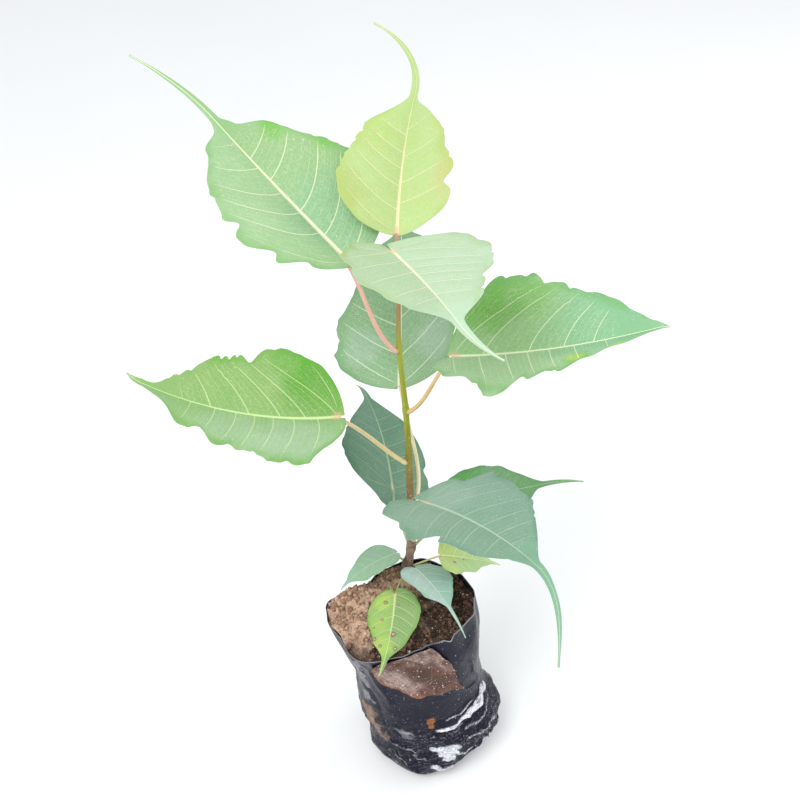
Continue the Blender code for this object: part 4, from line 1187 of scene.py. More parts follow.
def stalk_material(leaf, settings):
    """Smooth stalk in its own colour, darker in its socket at the stem, tinged at the junction, and turning
    into the pale rib of the blade."""
    tree, finish = new_material(leaf.name + "_stalk", Roughness=0.4, Coat_Weight=0.12)
    warm = tuple(0.5 * a + 0.5 * b for a, b in zip(leaf.stalk_colour, settings.junction))
    socket = dimmed(leaf.stalk_colour, 0.5)
    colour = tree.ramp(tree.attribute("run") * 0.5, (0.0, socket), (0.035, leaf.stalk_colour),
                       (0.40, leaf.stalk_colour), (0.485, warm), (0.515, settings.junction), (0.56, leaf.rib),
                       (1.0, leaf.rib))
    cloud = tree.mottle(tree.place(), scale=160.0, contrast=2.0)
    paler = tree.blend(0.35, leaf.stalk_colour, STALK_HIGHLIGHT)
    return finish(Base_Color=tree.layers(colour, (cloud, 0.35, paler)),
                  Normal=tree.bumps(cloud, distance=0.00008, strength=0.5))


def leaf_material(leaf, settings):
    """A living blade: cloudy green of its own in each half, the two halves differing partly by painted shade
    and sky sheen, soft tints, some of them painted sky sheen, saturated along the margin, with a pale midrib
    and fainter veins, a net between them, dry water marks, and a paler lower face."""
    tree, finish = new_material(leaf.name, Specular_IOR_Level=0.4)
    small = leaf.length < SMALL_LEAF
    blade = tree.surface()
    veins = tree.group(vein_group, Blade=blade, Vein=tree.attribute("vein"), Rate=tree.attribute("vein_rate"),
                       Strength=tree.attribute("veining"), Rib_width=SMALL_RIB_WIDTH if small else RIB_WIDTH,
                       Vein_width=SMALL_VEIN_WIDTH if small else VEIN_WIDTH)
    cloud = tree.mottle(blade, scale=5.0, contrast=1.4)
    grain = tree.mottle(blade, scale=48.0, contrast=2.2)
    rim = tree.step(tree.attribute("margin"), 0.80, 1.0) * tree.step(cloud, 0.3, 0.7)
    base = tree.patch(blade, (0.0, 0.0, 0.0), 0.030, ragged=0.2, scale=20.0, softness=0.6)
    dots = tree.specks(blade, 30.0 if small else 70.0, size=0.20, share=leaf.specks)
    dust = tree.specks(blade, 70.0 if small else 160.0, size=0.3, share=leaf.specks * 0.8)
    marks = tree.maths("MAXIMUM", dots, dust * 0.6) * tree.step(tree.noise(blade, 6.0), 0.30, 0.60)
    rings = ((1.0, 0.85, settings.spot), (0.55, 0.8, settings.spot_centre))
    spots = ((tree.patch(blade, (x, y, 0.0), size * part / leaf.length, ragged=0.25, scale=30.0), share,
              shade) for x, y, size in leaf.spots for part, share, shade in rings)
    sideways = tree.add("ShaderNodeSeparateXYZ", [blade])["X"]
    # Each half in its own green; the difference between them is partly painted shade and sky sheen, and the
    # dusty grey-green patches are partly painted sky sheen.
    upper = tree.layers(
        tree.blend(tree.step(sideways, -0.006, 0.006), *leaf.greens_and_shading), (cloud, 0.40, leaf.deep),
        *tree.patches(blade, leaf.patches, ragged=0.35, scale=7.0), (rim, 0.7, leaf.deep),
        (grain, 0.18, leaf.deep), (veins["Net"], 0.12, leaf.rib), (veins["Fine veins"], 0.20, leaf.rib),
        (veins["Veins"], 0.62, leaf.rib), (veins["Midrib"], 0.92, leaf.rib),
        (base, 0.12 if leaf.slot == "shaded_leaf" else 0.45, settings.junction), *spots,
        (marks, 0.75, settings.speck))
    lower = tree.layers(settings.underside, (veins["Veins"], 0.4, leaf.rib))
    under = tree.attribute("underside")
    lines = tree.maths("MAXIMUM", veins["Veins"], veins["Fine veins"] * 0.5)
    lines = tree.maths("MAXIMUM", lines, veins["Net"] * 0.3)
    return finish(Base_Color=tree.blend(under, upper, tree.blend(0.45, lower, leaf.greens_and_shading[0])),
                  Roughness=grain * 0.10 + 0.38 + marks * 0.3 + under * 0.25,
                  Normal=tree.bumps(grain * 0.4 - lines, distance=0.00022, strength=0.8))


def build_blade(leaf, settings):
    """The blade: a closed sheet, thicker at its midrib than at its margin."""
    surface, lateral, station, count, rate, side, body = blade_surface(leaf, settings)
    piece = new_sheet(leaf.name + "_blade", surface @ leaf_frame(leaf) + leaf_base(leaf),
                      settings.thickness * (1.15 - 0.55 * side**2), leaf_material(leaf, settings), leaf.slot,
                      (lateral, station), vein=count, vein_rate=rate, margin=side,
                      veining=body * (1 - 0.25 * side - 0.7 * ease(side, 0.6, 1.0)))
    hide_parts(leaf.name)


# ------------------------------------------------------------------ bag

def rim_height(angle):
    """Height of the rim round the mouth."""
    pulled = MOUTH_DENTS[1]
    return RIM_HEIGHT - RIM_SAG * bump(wrapped(angle, pulled.angle), 0, 2 * pulled.spread)


def bag_point(angle, height, inset=0.0):
    """A point of the bag's outer face at an angle and a height, moved inwards by the inset."""
    heights = [station.height for station in BAG_STATIONS]
    shift_x, shift_y, half_width, half_depth = (
        smooth_through(height, heights, [getattr(station, field) for station in BAG_STATIONS])
        for field in ("shift_x", "shift_y", "half_width", "half_depth"))
    fade = np.clip((height - RIM_HEIGHT + MOUTH_DEPTH) / MOUTH_DEPTH, 0, 1) ** 2
    dent = sum(place.depth * bump(wrapped(angle, place.angle), 0, place.spread) for place in MOUTH_DENTS)
    turn = np.radians(angle)
    change = dent * fade - inset
    return together(shift_x + (half_width + change) * np.cos(turn),
                    shift_y + (half_depth + change) * np.sin(turn), height)


@dataclass
class Crease:
    """A long fold across the film, from one angle and height to another.  Depth is how far it stands out,
    and a negative one is pressed in; white is how strongly a white glint is painted along it."""
    angle: float
    height: float
    end_angle: float
    end_height: float
    depth: float
    spread: float
    white: float = 0.0


CREASES = (
    Crease(-80, 0.055, -45, 0.0605, 0.0030, 0.0025, 1.2),
    Crease(-51, 0.060, -8, 0.061, 0.0030, 0.0033, 1.3),
    Crease(-34, 0.0570, -4, 0.0575, 0.0012, 0.0024, 1.0),
    Crease(-84, 0.049, -6, 0.053, -0.0034, 0.0026),
    Crease(-36, 0.053, -6, 0.053, 0.0006, 0.0050, 0.32),
    Crease(-66, 0.050, -40, 0.052, 0.0006, 0.0012, 0.5),
    Crease(-58, 0.045, -10, 0.047, 0.0012, 0.0014, 0.45),
    Crease(-94, 0.036, -68, 0.035, 0.0022, 0.0034, 1.3),
    Crease(-89, 0.029, -72, 0.031, 0.0016, 0.0046, 1.4),
    Crease(-85, 0.023, -74, 0.025, 0.0010, 0.0038, 1.2),
    Crease(-74, 0.027, -56, 0.026, 0.0012, 0.0016, 0.7),
    Crease(-112, 0.028, -98, 0.024, 0.0014, 0.0014, 0.5),
    Crease(-62, 0.036, -22, 0.036, 0.0015, 0.0013, 0.5),
    Crease(-46, 0.027, -14, 0.026, 0.0016, 0.0016, 0.5),
    Crease(-118, 0.058, -98, 0.053, 0.0012, 0.0018, 0.4),
    Crease(-70, 0.064, -36, 0.068, 0.0014, 0.0012, 0.55),
    Crease(-40, 0.062, -14, 0.066, 0.0010, 0.0016, 0.9),
    Crease(-92, 0.016, -66, 0.010, 0.0014, 0.0026, 1.1),
    Crease(-128, 0.036, -106, 0.030, 0.0014, 0.0014, 0.45),
    Crease(-136, 0.024, -112, 0.016, 0.0012, 0.0012, 0.4),
    Crease(-36, 0.110, -20, 0.076, 0.0012, 0.0012, 0.3),
    Crease(-60, 0.094, -20, 0.074, 0.0012, 0.0012, 0.3),
    Crease(-150, 0.120, -128, 0.060, -0.0014, 0.0040),
    Crease(-128, 0.134, -118, 0.080, 0.0012, 0.0030),
    Crease(20, 0.110, 62, 0.060, 0.0014, 0.0030, 0.3),
    Crease(70, 0.050, 150, 0.062, 0.0020, 0.0028, 0.6),
    Crease(75, 0.044, 148, 0.054, -0.0022, 0.0030),
    Crease(10, 0.040, 60, 0.030, 0.0016, 0.0018, 0.6),
    Crease(160, 0.120, 190, 0.070, 0.0012, 0.0030, 0.3),
)
# How many ways sharp folds run, how close the widest and the finest lie in folds a radius, and their seed.
WIDE_FOLDS = (9, 0.7, 3.3, 12)
SMALL_FOLDS = (7, 3.6, 8.0, 14)
FOLD_EDGE = 0.09             # how wide a fold's sharp edge is, in parts of the film's radius
HANG_DEPTH = 0.0007          # of the soft folds that hang from the mouth
CREASE_BOW, CREASE_WAVER = 0.0007, 0.0005   # how far a crease strays in long and in short bends
LOW_FILM = (0.078, 0.05)     # heights between which the film turns more crumpled
PUCKER_SIDE = -62            # the angle that the puckers lie round


def triangle_wave(x):
    """Straight slopes between -1 and 1 with a sharp turn at each whole and half number."""
    return 4 * np.abs(x - np.floor(x + 0.5)) - 1


def folds(place, ways, first_pitch, last_pitch, seed):
    """Flat facets and sharp folds: triangle waves in many directions, each strong in some places and absent
    in others, and the shallower the finer they are.  Also gives the strength of the folds' sharp edges."""
    draw = np.random.default_rng(seed)
    relief = edges = 0.0
    for fold in range(ways):
        way = unit(draw.normal(size=3) * (1.0, 1.0, 1.3))
        pitch = first_pitch + (last_pitch - first_pitch) * fold / ways
        strength = np.maximum(noise(place * (0.8 + 0.6 * first_pitch), seed=seed + 50 + fold) + 0.35, 0)
        wave = triangle_wave(place @ way * pitch + draw.random())
        relief = relief + wave * strength * first_pitch / pitch
        edges = np.maximum(edges, strength * ease(wave, 1 - FOLD_EDGE * pitch, 1))
    return relief, edges


def film_shape(angle, height, bag):
    """How far the crumpled film stands out: wide folds all over and small puckers low on the right, both
    bent by noise; soft folds that hang from the mouth; and the long creases.  Also gives where white glints
    are painted on the film, along the folds' edges and the creases."""
    turn = np.radians(angle)
    place = together(np.cos(turn), np.sin(turn), height / FILM_RADIUS)
    bent = place + 0.10 * noise_vector(place * 2.6, 2, seed=40)
    low = ease(height, *LOW_FILM)
    puckered = low * (0.35 + 0.65 * ease(np.abs(wrapped(angle, PUCKER_SIDE)), 75, 30))
    wide, wide_edges = folds(bent, *WIDE_FOLDS)
    small, small_edges = folds(bent + 0.05 * noise_vector(bent * 7, 1, seed=90), *SMALL_FOLDS)
    fine = creased(bent * (9.0, 9.0, 14.0), 3, seed=80)
    hang = np.sin(np.radians(11 * angle + 60 * np.sin(np.radians(angle * 2))))
    relief = (bag.crumple * (wide * (1 + 0.6 * low) - 0.4 * fine * low) + bag.pucker * small * puckered
              + HANG_DEPTH * hang * ease(height, 0.08, RIM_HEIGHT))
    # Painted white glints along the sharp edges of the folds, more of them low down and on the puckers.
    stretch = np.maximum(0.26 * wide_edges * (0.25 + low), 0.30 * small_edges * puckered)
    for crease in CREASES:
        dx = FILM_RADIUS * np.radians(crease.end_angle - crease.angle)
        dz = crease.end_height - crease.height
        span = np.hypot(dx, dz)
        x = FILM_RADIUS * np.radians(wrapped(angle, crease.angle))
        z = height - crease.height
        along = (x * dx + z * dz) / span**2
        bow = CREASE_BOW * np.sin(3 * np.pi * along) + CREASE_WAVER * np.sin(11 * along)
        away = np.abs((z * dx - x * dz) / span - bow) / crease.spread
        ends = ease(along, -0.08, 0.12) * ease(along, 1.08, 0.88)
        relief = relief + crease.depth * ends * np.maximum(1 - away / 2, 0) ** 1.4
        # A white glint is painted along each crease.
        stretch = np.maximum(stretch, crease.white * ends * ease(away, 1.1, 0.3))
    return relief * ease(height, 0.0, 0.008), stretch


def film_point(angle, height, bag, inset=0.0):
    """A point of the crumpled film: the solid's outer face moved out by the relief."""
    return bag_point(angle, height, inset - film_shape(angle, height, bag)[0])


FILM_COLUMNS = 300
FILM_ROWS = 230
LINING_ROWS = 44
FOOT_RINGS = 10
CENTRE_HOLE = 0.02           # radius of the innermost ring, as a part of the outermost
LINING_SLACK = 0.003         # how far in the hidden part of the inner face lies
LIP = 0.0016                 # height of the paler strip along the rim
TEARS = ((-52, 5, 0.004), (-148, 4, 0.003), (-8, 4, 0.003))  # in the rim: angle, spread and depth


def ragged_rim(angle, bag):
    """Height of the cut edge: the solid's rim with uneven cuts and three small tears."""
    cuts = fractal(4 * direction(angle), 3, seed=21)
    tears = sum(depth * np.maximum(1 - np.abs(wrapped(angle, place)) / spread, 0)
                for place, spread, depth in TEARS)
    return rim_height(angle) + bag.ragged * (cuts - 0.5) - tears


def build_bag(bag):
    """The film: rings from the middle of the flat underside out, up the crumpled outer face, over the cut
    edge and down the inner face to just above the underside, closed at both ends."""
    angle = np.linspace(0, 360, FILM_COLUMNS, endpoint=False)
    rim = ragged_rim(angle, bag)
    outer = film_point(angle, np.linspace(0, 1, FILM_ROWS)[:, None] * rim, bag)
    lining = np.maximum((1 - np.linspace(0, 1, LINING_ROWS)[:, None] ** 1.8) * rim, bag.film)
    inner = film_point(angle, lining, bag, bag.film + LINING_SLACK * ease(rim - lining, 0.008, 0.03))
    foot = outer[0] * np.linspace(CENTRE_HOLE, 1, FOOT_RINGS, endpoint=False)[:, None, None]
    floor = inner[-1] * (CENTRE_HOLE, CENTRE_HOLE, 1.0)
    rings = np.concatenate([foot, outer, inner, floor[None]])
    height = rings[..., 2]
    edge = np.maximum(0, 1 - np.abs(rim - height) / LIP)
    # The second attribute marks where white glints are painted on the film.
    piece = new_piece("bag_film", rings, ring_faces(len(rings), FILM_COLUMNS), film_material(bag), "bag_film",
                      values={"edge": edge, "stretch": film_shape(angle, height, bag)[1]})
    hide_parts("bag")


# Dried mud and splashes: angle and height on the bag, radius, share, and which colour.
DRIED = (
    (-150, 0.112, 0.0060, 0.55, "dust"),
    (-147, 0.096, 0.0060, 0.50, "dust"),
    (-146, 0.078, 0.0050, 0.45, "dust"),
    (-148, 0.058, 0.0075, 0.80, "mud"),
    (-143, 0.046, 0.0075, 0.80, "mud"),
    (-137, 0.036, 0.0060, 0.60, "mud"),
    (-82, 0.0645, 0.0038, 1.00, "stain"),
    (-108, 0.053, 0.0050, 0.30, "dust"),
)


def film_material(bag):
    """Glossy black polythene, its blue tint a painted sky reflection: painted white glints along its creases
    and the folds' edges, pale streaks low down that are partly scratches and partly painted glints, tiny
    pale specks, a strip of dried mud down the left, one rusty stain, and a pale rim that is partly strained
    film and partly a painted highlight of the cut edge."""
    tree, finish = new_material("bag_film", Specular_IOR_Level=0.11)
    place = tree.place()
    low = tree.step(tree.add("ShaderNodeSeparateXYZ", [place])["Z"], 0.085, 0.035)
    bloom = tree.mottle(place, scale=38.0, contrast=1.6)
    fine = tree.mottle(place, scale=420.0, contrast=2.5)
    flat = tree.add("ShaderNodeMapping", {"Vector": place, "Scale": (1.0, 1.0, 2.2)})
    scratches = tree.noise(flat, 300.0, detail=6.0, distortion=1.6)
    # Painted white glints where the attribute marks the creases and fold edges, broken up by streaky noise.
    stretch = tree.attribute("stretch")
    white = tree.step(stretch, 0.12, 0.75) * (tree.step(scratches, 0.47, 0.60) * 0.70 + stretch * 0.50)
    # Pale streaks low down: partly scratches, partly painted glints on the crumpled film.
    scratch_and_glint = tree.step(scratches, 0.56, 0.70) * low * bloom
    specks = tree.specks(place, scale=560.0, size=0.32, share=0.22)
    splashes = tree.specks(place, scale=210.0, size=0.20, share=0.22)
    marks = tree.maths("MAXIMUM", specks * fine * 0.8, splashes * bloom * 0.9)
    white = tree.maths("MINIMUM", white, 1.0)
    # The film's colour carries the painted blue sky reflection; over it go the painted white glints and the
    # pale streaks.
    colour = tree.layers(bag.colour, (bloom, 0.02, bag.dust), (white, 1.0, bag.glinting),
                         (scratch_and_glint, 0.35, bag.glinting), (marks, 0.75, bag.dust))
    dull = marks
    for angle, height, radius, share, shade in DRIED:
        centre = tuple(bag_point(float(angle), height))
        patch = tree.patch(place, centre, radius, ragged=0.8, scale=150.0, softness=0.3)
        dried = patch * (fine * 0.5 + 0.45) * share
        colour = tree.blend(dried, colour, getattr(bag, shade))
        dull = tree.maths("MAXIMUM", dull, dried)
    # Pale rim: partly strained film at the cut edge, partly a painted highlight where the edge catches the
    # light.
    edge = tree.step(tree.attribute("edge"), 0.2, 0.9) * bloom
    wrinkles = tree.noise(place, 70.0, detail=3.0, distortion=0.6)
    height = wrinkles + dull * 0.3 + scratches * (low * 0.8 + 0.15)
    return finish(Base_Color=tree.layers(colour, (edge, 0.6, bag.dust)),
                  Roughness=bloom * 0.08 + (0.24 - low * 0.10) + dull * 0.5,
                  Normal=tree.bumps(height, distance=0.0014, strength=0.7))


# ------------------------------------------------------------------ dead leaf

DEAD_GRID = (141, 101)
DEAD_CLEARANCE = 0.0006
DEAD_THICKNESS = 0.0005
DEAD_RIDGE = 0.0011
DEAD_CURL = 0.0016
DEAD_PUCKER = 0.0008
DEAD_CRUMPLE = 0.0009


def build_dead_leaf(bag):
    """The dead leaf: a heart-shaped blade on the film from its base at the upper left to its tip, wrapped
    round the bag by turning lengths into angles, and cut off along the rim.  It stands off the film by a
    little, more at its lower margin, which has curled, and along a bent ridge; and it is puckered by noise
    that has been creased by taking its size."""
    rows, columns = DEAD_GRID
    q = np.linspace(0, 1, rows)[:, None] ** 1.5
    v = np.linspace(0, 1, columns)
    half = np.maximum(heart(q, BLADE_RISE, DEAD_LEAF_FALL), DEAD_LEAF_BLUNTNESS) * DEAD_LEAF_WIDTH / 2
    tilt = np.radians(DEAD_LEAF_TILT)
    along = (q - 0.5) * DEAD_LEAF_LENGTH
    under_rim = RIM_HEIGHT - RIM_SAG - DEAD_LEAF_BELOW_RIM - DEAD_LEAF_HEIGHT
    highest = np.minimum(half, (under_rim - along * np.sin(tilt)) / np.cos(tilt))
    ragged = 1 + 0.05 * (fractal(together(9 * q + 5 * v, 7 * v, 0), 3, seed=31) - 0.4)
    up = ((highest + half) * v - half) * ragged
    angle = DEAD_LEAF_ANGLE + np.degrees((along * np.cos(tilt) - up * np.sin(tilt)) / FILM_RADIUS)
    height = DEAD_LEAF_HEIGHT + along * np.sin(tilt) + up * np.cos(tilt)
    across, way = up / DEAD_LEAF_WIDTH, along / DEAD_LEAF_LENGTH
    ridge = bump(across - 0.10 - 0.5 * way, 0, 0.05) + 0.7 * bump(across + 0.12 + 0.4 * way, 0, 0.04)
    curl = ease(v, 0.16, 0.0) * (0.6 + 0.4 * np.cos(9 * way)) + 0.5 * ease(v, 0.9, 1.0)
    place = together(way, across, 0) * 9
    pucker = fractal(place, 4, seed=33)
    crumple = 0.8 - 1.6 * creased(place * 0.7, 3, seed=35)
    stand = DEAD_RIDGE * ridge + DEAD_CURL * curl + DEAD_PUCKER * (pucker + 1) + DEAD_CRUMPLE * crumple
    stand = DEAD_CLEARANCE + np.maximum(ease(half, 0.0, 0.3 * DEAD_LEAF_WIDTH) * stand, 0)
    piece = new_sheet("dead_leaf_blade", film_point(angle, height, bag, -stand), DEAD_THICKNESS,
                      dead_leaf_material(bag), "dry_leaf", (way, across), margin=v,
                      vein=6.5 * way + 3.5 * np.abs(across) + 0.12 * pucker, pucker=0.5 + 0.4 * pucker)
    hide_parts("dead_leaf")


# Tints of the dead leaf: place along and across it in parts of its length and width, radius, share, and tint.
DEAD_TINTS = (
    (-0.26, -0.22, 0.20, 0.95, "dead_pale"),
    (-0.10, -0.40, 0.12, 0.60, "dead_pale"),
    (-0.28, 0.32, 0.18, 0.60, "dead_pale"),
    (-0.02, 0.36, 0.14, 0.45, "dead_pale"),
    (-0.14, 0.02, 0.13, 0.90, "dead_dark"),
    (0.06, 0.02, 0.10, 0.60, "dead_dark"),
    (0.24, 0.12, 0.14, 0.50, "dead_dark"),
)
DEAD_MARGIN = (0.34, 0.13, 0.06)
DEAD_GRIT = (0.78, 0.66, 0.66)


def dead_leaf_material(bag):
    """Rotten leaf: reddish brown, bleached grey-tan at its left and along the top, dark in the middle, with
    pale grit, wrinkles, and an orange strip along its lower margin."""
    tree, finish = new_material("dead_leaf", Specular_IOR_Level=0.3)
    surface = tree.surface()
    cloud = tree.mottle(surface, scale=9.0, contrast=2.6)
    fine = tree.mottle(surface, scale=44.0, contrast=3.2)
    grit = tree.specks(surface, scale=48.0, size=0.36, share=0.34)
    tints = [(*row, getattr(bag, shade)) for *row, shade in DEAD_TINTS]
    along = tree.add("ShaderNodeSeparateXYZ", [surface])["X"]
    low = tree.step(tree.attribute("margin"), 0.10, 0.02) * tree.step(along, 0.22, 0.05)
    line = tree.step(abs(tree.maths("FRACT", tree.attribute("vein")) - 0.5), 0.44, 0.5)
    hollow = tree.step(tree.attribute("pucker"), 0.50, 0.15)
    colour = tree.layers(bag.dead_red, (cloud, 0.85, bag.dead_dark),
                         *tree.patches(surface, tints, ragged=0.3, scale=9.0), (low, 0.85, DEAD_MARGIN),
                         (line, 0.22, bag.dead_pale), (hollow, 0.6, bag.dead_dark),
                         (fine, 0.55, bag.dead_dark), (grit, 0.85, DEAD_GRIT))
    return finish(Base_Color=colour, Roughness=fine * 0.2 + 0.55,
                  Normal=tree.bumps(fine + line, distance=0.0004, strength=0.9))


# ------------------------------------------------------------------ soil

def soil_edge(angle):
    """Height of the soil where it meets the film: heaped at the left, sunk at the right."""
    rise = SOIL_EDGE_RISE * bump(wrapped(angle, 180), 0, 55)
    fall = SOIL_EDGE_FALL * bump(wrapped(angle, -8), 0, 32)
    return SOIL_LEVEL + rise - fall


def soil_lumps(x, y):
    """Gentle unevenness of the soil's surface."""
    return SOIL_LUMP * (np.sin(150 * x + 0.6) * np.cos(120 * y) + 0.6 * np.sin(260 * x - 190 * y))


SOIL_GAP = 0.0003            # between the film and the surface's edge
PAD_CLODS = 0.35             # height of the clods on the pad under the stem, as a part of the others'


def soil_top(angle, part, soil, bag):
    """The soil's surface, from its edge at the film (0) straight in to the stem's foot (1): the height goes
    smoothly from one to the other, with the solid's lumps and with clods, which are noise that has been
    creased by taking its size."""
    edge = film_point(angle, soil_edge(angle), bag, bag.film + SOIL_GAP)
    x = edge[..., 0] + (STEM_FOOT[0] - edge[..., 0]) * part
    y = edge[..., 1] + (STEM_FOOT[1] - edge[..., 1]) * part
    pad = ease(np.hypot(x - STEM_FOOT[0], y - STEM_FOOT[1]), SOIL_PAD * 0.5, SOIL_PAD * 2)
    place = together(x, y, 0)
    clods = 0.8 - 1.9 * creased(place * 130, 4, seed=51) + 0.5 * fractal(place * 420, 2, seed=55)
    z = edge[..., 2] + (SOIL_LEVEL - edge[..., 2]) * ease(part, 0, 0.9)
    z = z + pad * soil_lumps(x, y) * (1 - part) + soil.clod * clods * (PAD_CLODS + (1 - PAD_CLODS) * pad)
    return together(x, y, z)


SOIL_COLUMNS = 260
SOIL_TOP_RINGS = 130
SOIL_SIDE = (0.004, 0.03, 0.07, 0.11, 0.128)   # heights of the rings up the soil's hidden side
SOIL_INSET = 0.0045          # how far inside the film that side lies


def build_soil(soil, bag):
    """The soil: a closed form whose sides lie inside the film and whose surface is the cloddy top."""
    angle = np.linspace(0, 360, SOIL_COLUMNS, endpoint=False)
    sides = bag_point(angle, np.array(SOIL_SIDE)[:, None], SOIL_INSET)
    part = np.linspace(0, 0.985, SOIL_TOP_RINGS)[:, None]
    rings = np.concatenate([sides, soil_top(angle, part, soil, bag)])
    piece = new_piece("soil_heap", rings, ring_faces(len(rings), SOIL_COLUMNS),
                      soil_material("soil_heap", soil.pale, soil.dark, soil), "soil")
    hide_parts("soil")
    for name, count, sizes, dry, moist, seed in (
            ("soil_crumbs", soil.crumbs, (0.0005, 0.0022), soil.pale, soil.crumb, 61),
            ("soil_dark_crumbs", soil.crumbs // 2, (0.0006, 0.0026), soil.earth, soil.dark, 62),
            ("soil_flecks", soil.flecks, (0.0003, 0.0010), soil.fleck, soil.fleck, 63)):
        build_crumbs(name, count, sizes, dry, moist, seed, soil, bag)


def twelve_corners():
    """Corners and faces of a lump with twelve corners: two poles and two rings of five between them."""
    ring = direction(72 * np.arange(5), np.degrees(np.arctan(0.5)))
    under = direction(72 * np.arange(5) + 36, -np.degrees(np.arctan(0.5)))
    corners = np.concatenate([[[0, 0, 1]], ring, under, [[0, 0, -1]]])
    i, j = np.arange(5), (np.arange(5) + 1) % 5
    faces = [together(0, 1 + i, 1 + j), together(1 + i, 6 + i, 1 + j), together(1 + j, 6 + i, 6 + j),
             together(6 + i, 11, 6 + j)]
    return corners, np.concatenate(faces)


def build_crumbs(name, count, sizes, dry, moist, seed, soil, bag):
    """Loose crumbs: lumps whose corners are pushed in or out at random, turned at random and scattered over
    the soil, half sunk.  Small ones are the most common."""
    draw = np.random.default_rng(seed)
    angle, part = draw.uniform(0, 360, count), 1 - np.sqrt(draw.uniform(0.03, 1, count))
    size = sizes[0] + (sizes[1] - sizes[0]) * draw.random(count) ** 3
    spot = soil_top(angle, np.maximum(part, 0.02), soil, bag)
    spot[:, 2] += size * 0.25
    turns, _ = np.linalg.qr(draw.normal(size=(count, 3, 3)))
    turns *= np.sign(np.linalg.det(turns))[:, None, None]
    corners, faces = twelve_corners()
    shapes = corners * (1 + draw.uniform(-0.35, 0.35, (count, 12, 1))) * draw.uniform(0.6, 1.2, (count, 1, 3))
    points = np.einsum("nij,nkj->nki", turns, shapes * size[:, None, None]) + spot[:, None]
    every = (faces + 12 * np.arange(count)[:, None, None]).reshape(-1, 3)
    piece = new_piece(name, points, [every], soil_material(name, dry, moist, soil), "soil")
    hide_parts("soil")


DRY_CRUST = ((-0.034, 0.004, 0.034), (-0.012, 0.026, 0.022), (-0.052, -0.010, 0.020))  # x, y and radius


def soil_material(name, pale, dark, soil):
    """Crumbly soil: a pale dry crust heaped at the left, moist and dark elsewhere, in clouds and grains, with
    chalky points."""
    tree, finish = new_material(name, Roughness=0.92, Specular_IOR_Level=0.2)
    place = tree.place()
    cloud = tree.mottle(place, scale=150.0, contrast=1.8)
    grain = tree.mottle(place, scale=900.0, contrast=2.5)
    chalk = tree.specks(place, scale=900.0, size=0.34, share=0.12)
    crust = 0.0
    for x, y, radius in DRY_CRUST:
        patch = tree.patch(place, (x, y, SOIL_LEVEL), radius, ragged=0.35, scale=110.0, softness=0.3)
        crust = tree.maths("MAXIMUM", crust, patch)
    moist = 1.0 - (crust * 0.78 + 0.10) * (1.15 - cloud * 0.55)
    patchy = tree.mottle(place, scale=75.0, contrast=2.6)
    colour = tree.layers(pale, (patchy, 0.30, soil.earth), (tree.step(moist, 0.0, 1.0), 1.0, dark),
                         (grain, 0.25, dimmed(pale, 0.4)), (chalk, 0.8, soil.fleck))
    return finish(Base_Color=colour, Normal=tree.bumps(grain, distance=0.0005, strength=0.7))


# ------------------------------------------------------------------ stage

SKY_COLOUR = (0.95, 0.98, 1.0, 1.0)
PLANT_MIDDLE = (0.0, 0.0, 0.25)
BAG_MIDDLE = (0.03, -0.04, 0.05)
FLOOR_HALF = 8.0
FLOOR_GAP = 0.0002           # between the floor and the bag


def stand(name, data, place, right, up, back):
    """An object at a place, turned so that its own axes point to the right, up and back."""
    turned = bpy.data.objects.new(name, data)
    turned.matrix_world = Matrix.Translation(place) @ Matrix(np.stack([right, up, back], axis=-1)).to_4x4()
    bpy.context.scene.collection.objects.link(turned)
    return turned


def softbox(name, place, aim, size, watts):
    """A square area light at a place, turned to a point.  The light itself doesn't show."""
    light = bpy.data.lights.new(name, "AREA")
    light.energy = watts
    light.size = size
    back = unit(np.array(place, float) - np.array(aim, float))
    side = unit(np.cross((0.0, 0.0, 1.0), back))
    stand(name, light, place, side, np.cross(back, side), back).visible_camera = False


def build_camera(stage):
    """The camera: it looks along +Y and down by the pitch, and leans by the roll."""
    data = bpy.data.cameras.new("camera")
    data.lens = stage.lens
    data.sensor_width = 36.0
    data.clip_start, data.clip_end = 0.01, 50.0
    right, ahead, up = aimed(90, -stage.pitch, -stage.roll)
    bpy.context.scene.camera = stand("camera", data, stage.eye, right, up, -ahead)


def build_floor(stage):
    """A wide level floor just under the bag, with a pale matt finish."""
    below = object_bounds()[0].z - FLOOR_GAP
    mesh = bpy.data.meshes.new("floor")
    corners = [(x * FLOOR_HALF, y * FLOOR_HALF, below) for x, y in ((-1, -1), (1, -1), (1, 1), (-1, 1))]
    mesh.from_pydata(corners, [], [(0, 1, 2, 3)])
    tree, finish = new_material("floor", Roughness=0.8, Specular_IOR_Level=0.2)
    cloud = tree.mottle(tree.place(), scale=3.0, contrast=1.0)
    mesh.materials.append(finish(Base_Color=tree.blend(cloud, stage.floor, dimmed(stage.floor, 0.97))))
    floor = bpy.data.objects.new("floor", mesh)
    bpy.context.scene.collection.objects.link(floor)
    floor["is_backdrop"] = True


def build_stage(stage):
    """Camera, floor, an even pale sky, a large softbox above and in front, a weaker one at the side, and a
    small one low at the front right."""
    build_camera(stage)
    build_floor(stage)
    world = bpy.data.worlds.new("studio")
    bpy.context.scene.world = world
    world.use_nodes = True
    sky = world.node_tree.nodes["Background"]
    sky.inputs["Color"].default_value = SKY_COLOUR
    sky.inputs["Strength"].default_value = stage.sky
    softbox("key_light", (-0.7, -0.9, 1.7), PLANT_MIDDLE, 1.0, stage.key)
    softbox("fill_light", (1.5, 0.4, 1.0), PLANT_MIDDLE, 1.2, stage.fill)
    softbox("glint_light", (0.20, -0.46, 0.10), BAG_MIDDLE, 0.05, stage.glint)
    bpy.context.scene.view_settings.view_transform = "Standard"


# ------------------------------------------------------------------ operators and panel

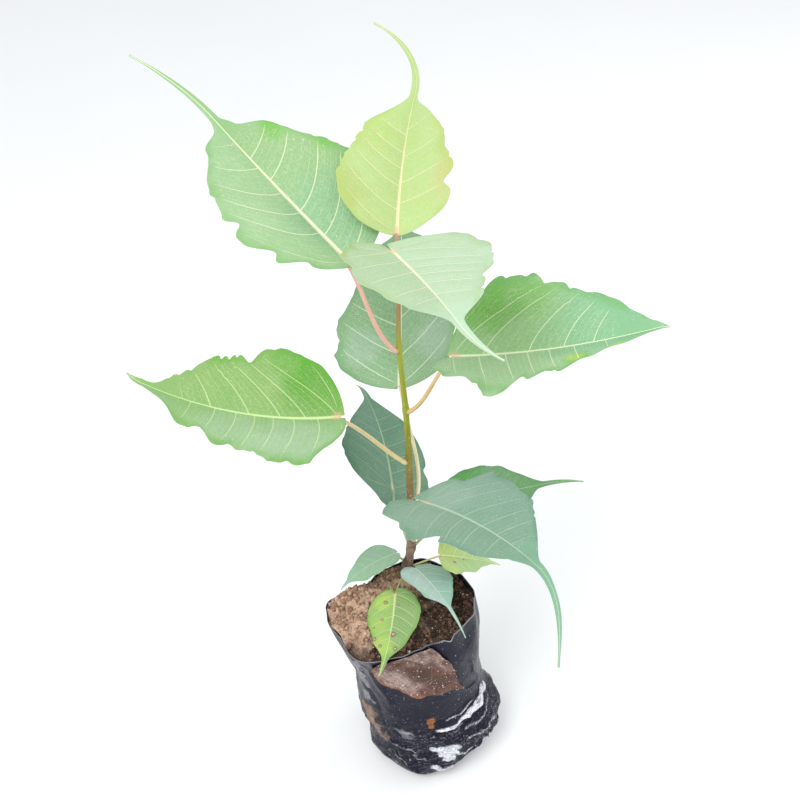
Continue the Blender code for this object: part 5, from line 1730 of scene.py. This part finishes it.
def settings():
    """The sapling's settings on the scene."""
    return bpy.context.scene.sapling


class SAPLING_OT_bag(bpy.types.Operator):
    """Build the crumpled film of the nursery bag"""
    bl_idname = "sapling.bag"
    bl_label = "Nursery Bag"

    def execute(self, context):
        build_bag(settings().bag)
        return {"FINISHED"}


class SAPLING_OT_soil(bpy.types.Operator):
    """Build the soil and its loose crumbs"""
    bl_idname = "sapling.soil"
    bl_label = "Soil"

    def execute(self, context):
        build_soil(settings().soil, settings().bag)
        return {"FINISHED"}


class SAPLING_OT_stem(bpy.types.Operator):
    """Build the stem with its bark and bud"""
    bl_idname = "sapling.stem"
    bl_label = "Stem"

    def execute(self, context):
        build_stem(settings().stem)
        return {"FINISHED"}


class SAPLING_OT_leaves(bpy.types.Operator):
    """Build the blade and the stalk of each living leaf"""
    bl_idname = "sapling.leaves"
    bl_label = "Leaves"

    def execute(self, context):
        for leaf in LEAVES:
            build_blade(leaf, settings().leaf)
            build_stalk(leaf, settings().leaf)
        return {"FINISHED"}


class SAPLING_OT_dead_leaf(bpy.types.Operator):
    """Build the dead leaf on the outside of the bag"""
    bl_idname = "sapling.dead_leaf"
    bl_label = "Dead Leaf"

    def execute(self, context):
        build_dead_leaf(settings().bag)
        return {"FINISHED"}


class SAPLING_OT_stage(bpy.types.Operator):
    """Set up the floor, the lights and the camera"""
    bl_idname = "sapling.stage"
    bl_label = "Stage"

    def execute(self, context):
        build_stage(settings().stage)
        return {"FINISHED"}


class SAPLING_PT_panel(bpy.types.Panel):
    """Sidebar panel that lists the pieces and their settings"""
    bl_label = "Bodhi Sapling"
    bl_space_type = "VIEW_3D"
    bl_region_type = "UI"
    bl_category = "Sapling"

    def draw(self, context):
        layout = self.layout
        for operator in OPERATORS:
            layout.operator(operator.bl_idname)
        for part in ("leaf", "stem", "bag", "soil", "stage"):
            group = getattr(context.scene.sapling, part)
            box = layout.box()
            box.label(text=part.capitalize())
            for label in group.__annotations__:
                box.prop(group, label)


OPERATORS = (SAPLING_OT_bag, SAPLING_OT_soil, SAPLING_OT_stem, SAPLING_OT_leaves, SAPLING_OT_dead_leaf,
             SAPLING_OT_stage)
CLASSES = (LeafSettings, StemSettings, BagSettings, SoilSettings, StageSettings, SaplingSettings,
           *OPERATORS, SAPLING_PT_panel)


def register():
    """Register the classes and put the settings on the scene."""
    for listed in CLASSES:
        bpy.utils.register_class(listed)
    bpy.types.Scene.sapling = PointerProperty(type=SaplingSettings)


def unregister():
    """Take the settings and the classes away again."""
    del bpy.types.Scene.sapling
    for listed in reversed(CLASSES):
        bpy.utils.unregister_class(listed)


def main():
    """Build every piece."""
    register()
    bpy.ops.sapling.bag()
    bpy.ops.sapling.soil()
    bpy.ops.sapling.stem()
    bpy.ops.sapling.leaves()
    bpy.ops.sapling.dead_leaf()
    bpy.ops.sapling.stage()


if __name__ == "__main__":
    main()
